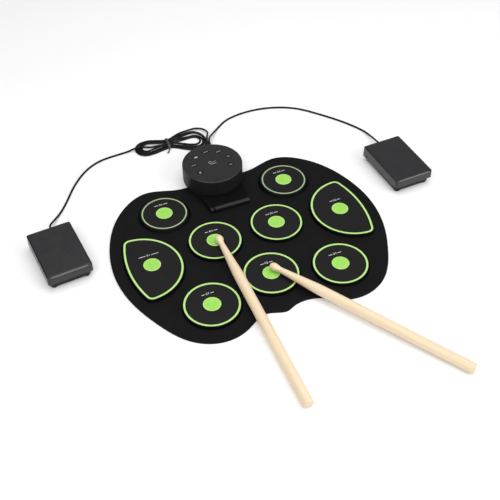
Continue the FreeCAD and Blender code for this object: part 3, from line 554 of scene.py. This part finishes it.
def turned_along(profile, start, direction, count=40):
    """Loops of a shape turned about a line: profile is a list of (distance along, radius)."""
    ahead = Vector(direction).normalized()
    side = ahead.cross(Vector((0, 0, 1))).normalized()
    up = side.cross(ahead)
    loops = []
    for along, radius in profile:
        centre = Vector(start) + ahead * along
        turn = 2.0 * math.pi / count
        loops.append([tuple(centre + (side * math.cos(i * turn) + up * math.sin(i * turn)) * radius)
                      for i in range(count)])
    return loops


# ---- mat -----------------------------------------------------------------------------------
MAT_TOP = 3.0
MAT_COUNT = 360
# distance in from the edge, and height
MAT_EDGE = [(0.9, 1.0), (0.15, 1.0), (0.0, 1.2), (0.0, 1.8), (0.09, 2.25), (0.35, 2.65), (0.75, 2.91),
            (1.2, 3.0), (2.6, 3.0), (7.0, 3.0)]


def mat_outline():
    """Edge of the mat at even angles, read from the base sheet's rim."""
    sheet = NODES["mat_base_sheet"].data.vertices
    rim = sorted((math.atan2(v.co.y, v.co.x), v.co.xy.length / MM)
                 for v in sheet if v.co.z < 0.0001 and v.co.xy.length > 0.135)
    angles = [a for a, _ in rim]
    radii = [r for _, r in rim]
    angles = [angles[-1] - 2 * math.pi] + angles + [angles[0] + 2 * math.pi]
    radii = [radii[-1]] + radii + [radii[0]]
    points = []
    k = 0
    for i in range(MAT_COUNT):
        a = -math.pi + 2.0 * math.pi * i / MAT_COUNT
        while angles[k + 1] < a:
            k += 1
        span = max(angles[k + 1] - angles[k], 1e-9)
        t = (a - angles[k]) / span
        r = radii[k] + (radii[k + 1] - radii[k]) * t
        points.append(Vector((r * math.cos(a), r * math.sin(a))))
    return points


def make_mat_skin():
    edge = mat_outline()
    count = len(edge)
    inward = []
    for i in range(count):
        along = (edge[(i + 1) % count] - edge[i - 1]).normalized()
        inward.append(Vector((-along.y, along.x)))
    loops = []
    for inset, z in MAT_EDGE:
        loops.append([(*(p + n * inset), z) for p, n in zip(edge, inward)])
    start = [p + n * MAT_EDGE[-1][0] for p, n in zip(edge, inward)]
    for step in range(1, 24):
        scale = 1.0 - step / 24.0
        loops.append([(*(p * scale), MAT_TOP) for p in start])
    wavy = []
    for i, loop in enumerate(loops):
        fade = min(1.0, max(0.0, (i - 6) / 5.0))
        wavy.append([(x, y, z + fade * 0.16 * (0.2 + noise.noise(Vector((x / 55, y / 55, 0.3)))))
                     for x, y, z in loop])
    vertices, faces = stack(wavy, cap_first=False)
    skin = piece("mat_skin", vertices, faces, "mat_silicone")
    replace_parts(skin, "mat_top_skin")


# ---- pads ----------------------------------------------------------------------------------
PAD_TOP = 8.0
# The two small pads spread out this many times as much as the others, from top to foot.
SMALL_PAD_R = 37.0
SMALL_PAD_SPREAD = 2.5
# centre x, y, ring radius, ring width, top radius
ROUND_PADS = {
    "pad_open_hat": (-102.8, 104.4, 34.5, 1.9, 37.0),
    "pad_crash": (102.8, 104.4, 34.5, 1.9, 37.0),
    "pad_tom_left": (-51.0, 17.0, 38.5, 2.7, 40.6),
    "pad_tom_right": (51.0, 17.0, 38.5, 2.7, 40.6),
    "pad_kick": (-101.8, -101.5, 39.4, 2.8, 41.6),
    "pad_snare": (0.0, -78.7, 39.4, 2.8, 41.6),
    "pad_floor_tom": (101.8, -101.5, 39.4, 2.8, 41.6),
}
LEAF_PADS = {"pad_closed_hat": -1, "pad_ride": 1}
LEAF_Y = 3.5
LEAF_INNER = (174.8, 62.5)
LEAF_OUTER = (21.0, 170.0)
LEAF_CORNER = 9.0
LEAF_RING = 2.9
LEAF_TOP = 2.6
LEAF_DOT = (155.6, 5.2)
# distance out from the top edge, and height, from the foot up over the shoulder
PAD_SIDE = [(1.0, 2.7), (2.0, 2.75), (2.0, 3.15), (1.62, 3.75), (1.2, 4.7), (0.75, 6.0), (0.42, 7.0),
            (0.22, 7.45), (-0.1, 7.78), (-0.55, 7.95), (-1.1, 8.0)]
# index in PAD_SIDE where the side, whose darker finish paints shade on it, ends and the cap begins
SHOULDER = 7


def leaf_loop(side, offset, z):
    """Points of the lens outline, grown evenly by offset, so that loops match point for point."""
    inner = Vector((side * LEAF_INNER[0], LEAF_Y))
    outer = Vector((side * LEAF_OUTER[0], LEAF_Y))
    a = LEAF_INNER[1] - LEAF_CORNER
    b = LEAF_OUTER[1] - LEAF_CORNER
    gap = LEAF_INNER[0] - LEAF_OUTER[0]
    along = (a * a - b * b + gap * gap) / (2.0 * gap)
    rise = math.sqrt(a * a - along * along)
    top = Vector((side * (LEAF_INNER[0] - along), LEAF_Y + rise))
    low = Vector((side * (LEAF_INNER[0] - along), LEAF_Y - rise))
    arcs = [
        (inner, LEAF_INNER[1] + offset, top - inner, low - inner, 40),
        (low, LEAF_CORNER + offset, low - inner, low - outer, 12),
        (outer, LEAF_OUTER[1] + offset, low - outer, top - outer, 40),
        (top, LEAF_CORNER + offset, top - outer, top - inner, 12),
    ]
    points = []
    for centre, radius, start, stop, steps in arcs:
        a0 = math.atan2(start.y, start.x)
        turn = math.atan2(stop.y, stop.x) - a0
        turn = (turn + math.pi) % (2.0 * math.pi) - math.pi
        for i in range(steps):
            t = a0 + turn * i / steps
            points.append((centre.x + radius * math.cos(t), centre.y + radius * math.sin(t), z))
    return points


def pad_with_ring(name, outline, ring_out, ring_in, ring_finish):
    """One soft cap with a groove, and the ring that fills it. outline(offset, z) gives a loop."""
    profile = PAD_SIDE + [
        (ring_out + 0.4, 8.0), (ring_out + 0.12, 7.93), (ring_out, 7.6),
        (ring_in, 7.6), (ring_in - 0.12, 7.93), (ring_in - 0.4, 8.0), (ring_in - 2.0, 8.0),
    ]
    loops = [outline(offset, z) for offset, z in profile]
    vertices, faces = stack(loops[SHOULDER:], cap_first=False)
    pad = piece(name + "_cap", vertices, faces, "pad_rubber")
    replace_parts(pad, name)
    # The side is its own piece, in a darker finish than the cap: painted shade on the pad's side.
    vertices, faces = stack(loops[:SHOULDER + 1], cap_first=False, cap_last=False)
    piece(name + "_side", vertices, faces, "pad_side")
    # The third value of each ring point weights the painted highlight at the ring's edge.
    ring = [(ring_out, 7.6, 1.0), (ring_out, 7.96, 1.0), (ring_out - 0.12, 8.07, 0.8),
            (ring_out - 0.4, 8.1, 0.3), ((ring_out + ring_in) / 2.0, 8.1, 0.0),
            (ring_in + 0.4, 8.1, 0.3), (ring_in + 0.12, 8.07, 0.8), (ring_in, 7.96, 1.0), (ring_in, 7.6, 1.0)]
    loops = [outline(offset, z) for offset, z, _ in ring]
    vertices, faces = stack(loops, cap_first=False, cap_last=False)
    rim = [value for _, _, value in ring for _ in loops[0]]
    return piece(name + "_ring", vertices, faces, ring_finish, values={"rim": rim})


def pad_dot(name, x, y):
    # The third value of each dot point weights the painted highlight at the dot's edge.
    profile = [(13.0, 7.6, 1.0), (13.0, 7.95, 1.0), (12.85, 8.06, 1.0), (12.5, 8.1, 0.8), (11.9, 8.1, 0.15),
               (9.0, 8.1, 0.0), (4.0, 8.1, 0.0)]
    loops = [circle(x, y, z, r) for r, z, _ in profile]
    vertices, faces = stack(loops, cap_first=False)
    rim = [value for _, _, value in profile for _ in loops[0]]
    return piece(name + "_dot", vertices, faces, "lime_inlay", values={"rim": rim})


def make_pads():
    rings = []
    dots = []
    for name, (x, y, radius, width, top_r) in ROUND_PADS.items():
        small = top_r == SMALL_PAD_R
        spread = SMALL_PAD_SPREAD if small else 1.0

        def outline(offset, z, x=x, y=y, top_r=top_r, spread=spread):
            return circle(x, y, z, top_r + offset * (spread if offset > 0.0 else 1.0), 128)
        out = radius + width / 2.0 - top_r
        rings.append(pad_with_ring(name, outline, out, out - width, "lime_pale" if small else "lime_ring"))
        dots.append(pad_dot(name, x, y))
    for name, side in LEAF_PADS.items():
        def outline(offset, z, side=side):
            return leaf_loop(side, LEAF_TOP + offset, z)
        out = LEAF_RING / 2.0 - LEAF_TOP
        rings.append(pad_with_ring(name, outline, out, out - LEAF_RING, "lime_ring"))
        dots.append(pad_dot(name, side * LEAF_DOT[0], LEAF_DOT[1]))
    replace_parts(rings[0], "pad_rings")
    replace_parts(dots[0], "pad_dots")


# ---- numbers, in the order that the pads would be played -------------------------------------
# x, y of the dot, and the length of the line printed under the number
PAD_LABELS = [
    (-155.6, 5.2, 22.0), (-102.8, 104.4, 13.0), (-51.0, 17.0, 12.0), (102.8, 104.4, 12.0),
    (51.0, 17.0, 12.0), (155.6, 5.2, 9.0), (-101.8, -101.5, 10.0), (0.0, -78.7, 11.0),
    (101.8, -101.5, 12.0),
]
LABEL_SHIFT = (1.0, 20.4)


def plate(shape, corners, z, thickness=0.03):
    """Add a thin flat polygon to a bmesh, from (x, y) corners in millimetres."""
    if callable(z):
        height = z
    else:
        def height(x, y):
            return z
    low = [shape.verts.new(mm(x, y, height(x, y))) for x, y in corners]
    top = [shape.verts.new(mm(x, y, height(x, y) + thickness)) for x, y in corners]
    shape.faces.new(top)
    for i in range(len(corners)):
        k = (i + 1) % len(corners)
        shape.faces.new((low[i], low[k], top[k], top[i]))


def bar(x, y, width, height, degrees=0.0):
    a = math.radians(degrees)
    c = math.cos(a)
    s = math.sin(a)
    corners = [(-width / 2, -height / 2), (width / 2, -height / 2), (width / 2, height / 2),
               (-width / 2, height / 2)]
    return [(x + c * px - s * py, y + s * px + c * py) for px, py in corners]


def round_spot(x, y, radius, count=20):
    return [(px, py) for px, py, _ in circle(x, y, 0.0, radius, count)]


def add_ring(shape, x, y, radius, width, height, count=28):
    """Thin printed ring, as short bars end to end."""
    for i in range(count):
        a0 = 2.0 * math.pi * i / count
        a1 = 2.0 * math.pi * (i + 1) / count
        corners = [(x + r * math.cos(a), y + r * math.sin(a))
                   for r, a in ((radius - width / 2, a0), (radius + width / 2, a0),
                                (radius + width / 2, a1), (radius - width / 2, a1))]
        plate(shape, corners, height)


def print_piece(name, shape, finish, body):
    bmesh.ops.recalc_face_normals(shape, faces=shape.faces)
    data = bpy.data.meshes.new(name)
    shape.to_mesh(data)
    shape.free()
    data.materials.append(FINISH[finish])
    made = bpy.data.objects.new(name, data)
    bpy.context.scene.collection.objects.link(made)
    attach(made, body)
    return made


def number_mesh(text, size):
    """Flat mesh of a number, centred on the origin, in metres."""
    curve = bpy.data.curves.new("number", "FONT")
    curve.body = text
    curve.size = size * MM
    curve.align_x = "CENTER"
    curve.align_y = "CENTER"
    curve.space_character = 1.15
    curve.extrude = 0.015 * MM
    holder = bpy.data.objects.new("number", curve)
    bpy.context.scene.collection.objects.link(holder)
    bpy.context.view_layer.update()
    data = bpy.data.meshes.new_from_object(holder.evaluated_get(bpy.context.evaluated_depsgraph_get()))
    bpy.data.objects.remove(holder)
    bpy.data.curves.remove(curve)
    return data


def make_numbers():
    shape = bmesh.new()
    for i, (x, y, line) in enumerate(PAD_LABELS):
        data = number_mesh("%02d" % (i + 1), 5.4)
        centre = mm(x + LABEL_SHIFT[0], y + LABEL_SHIFT[1], PAD_TOP + 0.02)
        data.transform(Matrix.Translation(centre))
        shape.from_mesh(data)
        bpy.data.meshes.remove(data)
        for side in (-1, 1):
            middle = x + LABEL_SHIFT[0] + side * (4.4 + line / 4.0)
            plate(shape, bar(middle, y + LABEL_SHIFT[1], line / 2.0, 1.0), PAD_TOP)
    print_piece("pad_numbers", shape, "print", ROOT)


# ---- sound module --------------------------------------------------------------------------
MODULE_TOP = 35.5
BUTTON_CIRCLE = 30.5
BUTTON_ANGLES = [210, 170, 130, 90, 50, 10, -30]
KEY_R = 5.75
# marks on each key: bars as (x, y, width, height, degrees) and spots as (x, y, radius)
KEY_BARS = [
    [(0.0, -1.5, 3.2, 0.8, 0)],
    [(-2.0, 0.0, 3.2, 0.9, 0), (1.8, 0.7, 3.4, 0.9, 14)],
    [(0.0, 0.0, 5.0, 3.6, 0)],
    [(-2.2, -0.4, 2.6, 1.2, 0), (0.8, 0.3, 2.4, 1.2, 0), (3.2, 0.8, 1.2, 1.2, 0)],
    [(-2.6, -0.4, 2.2, 1.2, 0), (0.2, 0.0, 2.4, 1.2, 0), (3.0, 0.5, 1.8, 1.2, 0)],
    [(-1.6, 0.0, 1.8, 1.0, 0), (1.4, 0.0, 2.2, 1.0, 0)],
    [(0.0, 0.0, 4.8, 1.0, 0)],
]
KEY_SPOTS = [[(0.0, 0.5, 1.3)], [], [], [], [], [(0.2, 1.4, 0.6)], []]


def key_height(radius):
    """Height of a key's shallow dish at a distance from the key's middle."""
    return MODULE_TOP - 0.12 * max(0.0, 1.0 - (radius / 5.5) ** 2)


def make_key_marks():
    for i, degrees in enumerate(BUTTON_ANGLES):
        a = math.radians(degrees)
        cx = BUTTON_CIRCLE * math.cos(a)
        cy = MODULE_Y + BUTTON_CIRCLE * math.sin(a)

        def dish(x, y, cx=cx, cy=cy):
            return key_height(math.hypot(x - cx, y - cy)) + 0.01

        shape = bmesh.new()
        for x, y, width, height, turn in KEY_BARS[i]:
            plate(shape, bar(cx + x, cy + y, width, height, turn), dish, 0.05)
        for x, y, radius in KEY_SPOTS[i]:
            plate(shape, round_spot(cx + x, cy + y, radius), dish, 0.05)
        name = "button_%d" % (i + 1)
        print_piece(name + "_mark", shape, "key_print", name)
        loops = [circle(cx, cy, z, r, 48) for r, z in
                 [(KEY_R, 33.6), (KEY_R, 35.3), (KEY_R - 0.06, 35.44)]]
        loops += [circle(cx, cy, key_height(r), r, 48) for r in (5.5, 5.2, 4.7, 3.8, 2.8, 1.6, 0.5)]
        vertices, faces = stack(loops)
        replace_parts(piece(name + "_cap", vertices, faces, "button_rubber", name), name)


def make_module_mark():
    """Plain mark in the lid's middle: a small ring, a spot and two thin lines."""
    shape = bmesh.new()
    add_ring(shape, -3.0, MODULE_Y + 2.2, 2.2, 0.7, MODULE_TOP)
    plate(shape, bar(2.4, MODULE_Y + 1.4, 3.4, 0.8, 0), MODULE_TOP)
    plate(shape, round_spot(6.2, MODULE_Y + 2.6, 0.7), MODULE_TOP)
    plate(shape, bar(1.0, MODULE_Y - 2.4, 11.0, 0.8, 0), MODULE_TOP)
    print_piece("module_mark", shape, "key_print", ROOT)


def make_module_details():
    """Soft bead around the lid, and a low rounded bar with a knob along the front of the link."""
    # The bead is in a lighter finish than the lid: a painted highlight round its edge.
    bead = []
    for i in range(9):
        a = math.radians(-40.0 + 170.0 * i / 8.0)
        bead.append((48.05 + 0.75 * math.cos(a), 34.55 + 0.75 * math.sin(a)))
    loops = [circle(0.0, MODULE_Y, z, r, 160) for r, z in bead]
    vertices, faces = stack(loops, cap_first=False, cap_last=False)
    piece("module_rim", vertices, faces, "module_edge_highlight")
    # low rounded bar along the front of the link, with a separate knob at its left end
    for name, x0, x1 in (("link_bar", -26.4, 33.4), ("link_knob", -33.4, -28.0)):
        profile = []
        radius = 3.7
        for i in range(5):
            a = math.radians(90.0 * i / 4.0)
            profile.append((1.6 - 1.6 * math.cos(a), radius - 1.6 + 1.6 * math.sin(a)))
        length = x1 - x0
        profile += [(length - along, r) for along, r in profile[::-1]]
        loops = turned_along(profile, (x0, 82.6, 6.8), (1, 0, 0), 32)
        vertices, faces = stack(loops)
        piece(name, vertices, faces, "link_grey")


# ---- foot pedals ---------------------------------------------------------------------------
# the rounded top edge at the front: its middle's distance from the pedal's centre and its height,
# then its cross-section as (distance out, height)
PEDAL_FRONT = 50.2
EDGE_Z = 25.3
EDGE_HALF = 31.6
EDGE_SECTION = [(-0.9, 25.6), (-0.9, 25.98), (-0.2, 26.1), (0.4, 26.02), (0.85, 25.8), (1.15, 25.4),
                (1.25, 24.9), (1.1, 24.4), (0.6, 24.3)]


def make_pedal_details(side):
    x, y, degrees = PEDALS[side]
    body = "pedal_cover_" + side
    # A thin near-black ring in the groove round the tread: painted shade in the gap.
    frame_profile = [(66.2, 100.0, 3.0, 25.7), (66.2, 100.0, 3.0, 26.03), (64.4, 98.2, 2.4, 26.05),
                     (64.4, 98.2, 2.4, 25.7)]
    loops = [placed(rounded_box_loop(w, l, r, z), x, y, degrees) for w, l, r, z in frame_profile]
    vertices, faces = stack(loops, cap_first=False, cap_last=False)
    piece("pedal_gap_shade_" + side, vertices, faces, "gap", body)
    tread = [(64.8, 98.6, 2.6, 25.8), (64.8, 98.6, 2.6, 26.12), (64.5, 98.3, 2.5, 26.24),
             (64.0, 97.8, 2.3, 26.3), (60.0, 93.8, 2.0, 26.3)]
    loops = [placed(rounded_box_loop(w, l, r, z), x, y, degrees) for w, l, r, z in tread]
    vertices, faces = stack(loops, cap_first=False)
    piece("pedal_tread_" + side, vertices, faces, "pedal_plastic", body)
    # The rounded front top edge, in a much lighter finish: a painted highlight.
    loops = []
    for i in range(17):
        along = EDGE_HALF * (i / 8.0 - 1.0)
        size = math.sqrt(max(0.0, 1.0 - (along / (EDGE_HALF + 0.6)) ** 8))
        loop = []
        for out, z in EDGE_SECTION:
            loop.append((along, -PEDAL_FRONT - out * size, EDGE_Z + (z - EDGE_Z) * size))
        loops.append(placed(loop, x, y, degrees))
    vertices, faces = stack(loops)
    piece("pedal_edge_" + side, vertices, faces, "pedal_edge", body)


# the spring's place in the pedal, coil and wire radius, and the height of its end turns
SPRING_Y = -24.0
SPRING_R = 4.0
SPRING_WIRE = 0.5
SPRING_LOW = 5.3
SPRING_HIGH = 23.35
SPRING_TURNS = 6
# turns that lie flat at each end
SPRING_CLOSED = 0.9


def make_spring(side):
    """Coil spring under the cover, with closed end turns."""
    x, y, degrees = PEDALS[side]
    loops = []
    steps = 24
    for i in range(SPRING_TURNS * steps + 1):
        turn = i / steps
        rise = (turn - SPRING_CLOSED) / (SPRING_TURNS - 2.0 * SPRING_CLOSED)
        rise = min(max(rise, 0.0), 1.0)
        z = SPRING_LOW + (SPRING_HIGH - SPRING_LOW) * rise
        a = 2.0 * math.pi * turn
        loop = []
        for j in range(8):
            b = 2.0 * math.pi * j / 8
            r = SPRING_R + SPRING_WIRE * math.cos(b)
            loop.append((r * math.cos(a), SPRING_Y + r * math.sin(a), z + SPRING_WIRE * math.sin(b)))
        loops.append(placed(loop, x, y, degrees))
    vertices, faces = stack(loops)
    spring = piece("pedal_coil_" + side, vertices, faces, "steel")
    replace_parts(spring, "pedal_spring_" + side)
    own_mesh(spring)


BOOT_START = 44.1
# distance behind the start, and radius: collar, neck in the wall, then a ribbed taper
BOOT_PROFILE = [
    (0.0, 2.2), (0.0, 4.1), (0.3, 4.4), (1.5, 4.4), (1.8, 4.1), (1.85, 3.2), (3.9, 3.2), (4.3, 3.55),
    (5.2, 3.6), (5.6, 3.2), (6.3, 3.1), (6.7, 3.45), (7.8, 3.4), (8.2, 3.0), (8.9, 2.95), (9.3, 3.25),
    (10.4, 3.2), (10.8, 2.8), (11.5, 2.75), (11.9, 3.0), (13.0, 2.95), (13.4, 2.6), (14.1, 2.55),
    (14.5, 2.65), (15.6, 2.6), (16.0, 2.4), (17.6, 2.3), (18.6, 2.25), (19.3, 2.1), (19.6, 1.8),
]


def make_boot(side):
    start = pedal_exit(side, BOOT_START)
    ahead = Vector(pedal_exit(side, BOOT_START + 1.0)) - Vector(start)
    vertices, faces = stack(turned_along(BOOT_PROFILE, start, ahead, 40))
    boot = piece("pedal_boot_" + side, vertices, faces, "cord_jacket")
    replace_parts(boot, "pedal_relief_" + side)
    return boot


# distance from the module's centre, and radius
PLUG_PROFILE = [
    (49.7, 2.0), (49.7, 4.1), (50.1, 4.5), (51.6, 4.6), (52.2, 4.25), (53.0, 4.25), (53.6, 4.6),
    (54.8, 4.6), (55.4, 4.25), (56.2, 4.25), (56.8, 4.6), (58.0, 4.6), (58.6, 4.25), (59.4, 4.25),
    (60.0, 4.6), (63.5, 4.6), (67.0, 4.55), (67.6, 4.2), (69.4, 4.15), (70.0, 4.4), (71.6, 4.3),
    (72.2, 3.95), (74.0, 3.9), (74.6, 4.15), (76.2, 4.05), (76.8, 3.7), (78.6, 3.65), (79.2, 3.9),
    (80.8, 3.8), (81.4, 3.5), (84.2, 3.45), (85.2, 3.2), (85.6, 2.6),
]
PIN_PROFILE = [(35.0, 0.5), (35.6, 1.2), (37.0, 1.7), (38.6, 1.35), (39.4, 1.35), (40.2, 1.7), (41.0, 1.7),
               (41.0, 1.6), (41.6, 1.6), (41.6, 1.7), (45.0, 1.7), (45.0, 1.6), (45.6, 1.6), (45.6, 1.7),
               (49.9, 1.7)]


def make_plug():
    start = plug_exit(0.0, 0.0)
    ahead = Vector(plug_exit(0.0, 1.0)) - Vector(start)
    vertices, faces = stack(turned_along(PLUG_PROFILE, start, ahead, 48))
    grip = piece("plug_grip", vertices, faces, "cord_jacket")
    vertices, faces = stack(turned_along(PIN_PROFILE, start, ahead, 32))
    pin = piece("plug_pin", vertices, faces, "steel")
    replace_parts(grip, "pedal_plug")
    return [grip, pin]


# ---- wire tie around the hank ----------------------------------------------------------------
TIE_LOOP = [
    (262.75, 1.2), (262.75, 2.2), (262.75, 3.4), (262.9, 4.7), (263.9, 5.9), (266.0, 6.45),
    (270.5, 6.6), (276.0, 6.65), (281.5, 6.6), (285.0, 6.3), (287.2, 5.3), (287.8, 3.9),
    (287.8, 2.6), (287.75, 1.2), (287.0, 0.45), (284.5, 0.22), (276.0, 0.2), (267.0, 0.2), (263.6, 0.4),
]
TIE_TAIL = [
    (-38.9, 263.6, 5.9), (-39.6, 262.0, 6.3), (-40.5, 260.2, 6.0), (-41.4, 258.3, 5.0), (-42.2, 256.6, 3.8),
    (-43.3, 254.8, 2.8), (-44.8, 253.2, 2.0), (-46.8, 252.2, 1.6),
]


def make_tie():
    """Flat band round the waist, pressed onto the strands, and its twisted end."""
    centre = Vector((275.3, 3.4))
    count = len(TIE_LOOP)
    loops = []
    for i, (y, z) in enumerate(TIE_LOOP):
        after = Vector(TIE_LOOP[(i + 1) % count])
        along = (after - Vector(TIE_LOOP[i - 1])).normalized()
        out = Vector((along.y, -along.x))
        if out.dot(Vector((y, z)) - centre) < 0:
            out = -out
        lean = (y - centre.x) * 0.05
        loop = []
        for across, deep in ((-1.6, 0.0), (-1.45, 0.22), (-0.5, 0.18), (0.0, 0.42), (0.5, 0.18), (1.45, 0.22),
                             (1.6, 0.0), (1.4, -0.12), (-1.4, -0.12)):
            loop.append((WAIST_X + across * 1.4 + lean, y + out.x * deep, z + out.y * deep))
        loops.append(loop)
    loops.append(loops[0])
    vertices, faces = stack(loops, cap_first=False, cap_last=False)
    band = piece("tie_band", vertices, faces, "tie_black")
    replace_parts(band, "hank_tie")
    loops = []
    steps = 10
    for i in range((len(TIE_TAIL) - 1) * steps + 1):
        k = min(i // steps, len(TIE_TAIL) - 2)
        t = i / steps - k
        a = Vector(TIE_TAIL[k])
        b = Vector(TIE_TAIL[k + 1])
        ahead = (b - a).normalized()
        side = ahead.cross(Vector((0, 0, 1))).normalized()
        up = side.cross(ahead)
        turn = math.radians(34.0) * i / 2.0
        loop = []
        for j in range(12):
            angle = 2.0 * math.pi * j / 12
            radius = 0.95 + 0.5 * math.cos(2.0 * angle)
            out = side * math.cos(angle + turn) + up * math.sin(angle + turn)
            loop.append(tuple(a.lerp(b, t) + out * radius))
        loops.append(loop)
    vertices, faces = stack(loops)
    tail = piece("tie_tail", vertices, faces, "tie_black")
    return [band, tail]


# ---- drumsticks ----------------------------------------------------------------------------
STICK_LENGTH = 325.0
STICK_RADIUS = 7.8
STICK_LIFT = 0.05
STICKS = {
    "left": (-47.2, 16.6, 15.0, -90.45),
    "right": (1.8, -70.0, 15.3, -57.6),
}
# distance from the tip, and radius
STICK_PROFILE = [
    (0.0, 0.8), (0.3, 2.0), (0.9, 3.1), (1.8, 4.05), (3.0, 4.84), (4.6, 5.5), (6.2, 5.82), (7.8, 5.9),
    (9.6, 5.74), (11.4, 5.35), (13.0, 4.97), (14.5, 4.68), (16.2, 4.36), (18.0, 4.22), (20.5, 4.34),
    (26.0, 4.63), (34.0, 5.07), (44.0, 5.62), (54.0, 6.17), (64.0, 6.72), (72.0, 7.16), (79.0, 7.52),
    (84.0, 7.72), (92.0, 7.79), (110.0, 7.8), (160.0, 7.8), (210.0, 7.8), (260.0, 7.8), (300.0, 7.8),
    (321.4, 7.8), (322.6, 7.7), (323.7, 7.35), (324.5, 6.75), (324.9, 6.0), (325.0, 5.1), (325.0, 2.4),
    (325.0, 0.6),
]


def make_stick(side):
    x, y, z, heading = STICKS[side]
    tip = Vector((x, y, z + STICK_LIFT))
    butt_z = STICK_RADIUS + STICK_LIFT
    pitch = math.asin((z - butt_z) / STICK_LENGTH)
    a = math.radians(heading)
    ahead = Vector((math.cos(a) * math.cos(pitch), math.sin(a) * math.cos(pitch), -math.sin(pitch)))
    count = 48
    loops = turned_along(STICK_PROFILE, tip, ahead, count)
    vertices, faces = stack(loops)
    shift = 0.4 if side == "left" else 0.9
    grain = []
    for along, radius in STICK_PROFILE:
        for i in range(count):
            angle = 2.0 * math.pi * i / count
            across = radius * math.cos(angle) * MM
            grain.append((along * MM + shift, across + shift, radius * math.sin(angle) * MM))
    body = "drumstick_" + side
    stick = piece("stick_" + side, vertices, faces, "maple", body, values={"grain_place": grain})
    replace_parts(stick, body)


# ---- floor and light -------------------------------------------------------------------------
def make_floor():
    half = 4000.0
    z = FLOOR_Z - 0.05
    data = bpy.data.meshes.new("floor")
    corners = [mm(-half, -half, z), mm(half, -half, z), mm(half, half, z), mm(-half, half, z)]
    data.from_pydata(corners, [], [(0, 1, 2, 3)])
    data.materials.append(FINISH["floor"])
    floor = bpy.data.objects.new("floor", data)
    bpy.context.scene.collection.objects.link(floor)


def area_light(name, place, target, size, power):
    data = bpy.data.lights.new(name, "AREA")
    data.shape = "RECTANGLE"
    data.size = size[0]
    data.size_y = size[1]
    data.energy = power
    light = bpy.data.objects.new(name, data)
    bpy.context.scene.collection.objects.link(light)
    light.location = place
    aim = Vector(target) - Vector(place)
    light.rotation_euler = aim.to_track_quat("-Z", "Y").to_euler()


def make_light():
    world = bpy.data.worlds.new("studio")
    world.use_nodes = True
    world.node_tree.nodes["Background"].inputs["Color"].default_value = (1.0, 1.0, 1.0, 1.0)
    world.node_tree.nodes["Background"].inputs["Strength"].default_value = 0.42
    bpy.context.scene.world = world
    area_light("key", (-1.0, -1.1, 1.7), (0.0, 0.0, 0.0), (1.6, 1.6), 24.0)
    area_light("fill", (1.2, -1.1, 1.0), (0.1, 0.0, 0.0), (1.4, 1.2), 14.0)
    area_light("top", (0.2, 0.3, 2.0), (0.0, 0.0, 0.0), (2.0, 1.6), 20.0)
    bpy.context.scene.view_settings.view_transform = "Standard"


# ---- run -----------------------------------------------------------------------------------
make_camera()
FINISH = make_finishes()
CORD_LEFT, CORD_RIGHT = make_cords()
dress_cad_nodes()
make_mat_skin()
make_pads()
make_numbers()
make_key_marks()
make_module_mark()
make_module_details()
for pedal_side in PEDALS:
    make_pedal_details(pedal_side)
    make_spring(pedal_side)
BOOTS = [make_boot(pedal_side) for pedal_side in PEDALS]
PLUG = make_plug()
TIE = make_tie()
for stick_side in STICKS:
    make_stick(stick_side)
make_floor()
make_light()

mm(*pedal_exit("left", PEDAL_EXIT_Y))
mm(*pedal_exit("right", PEDAL_EXIT_Y))
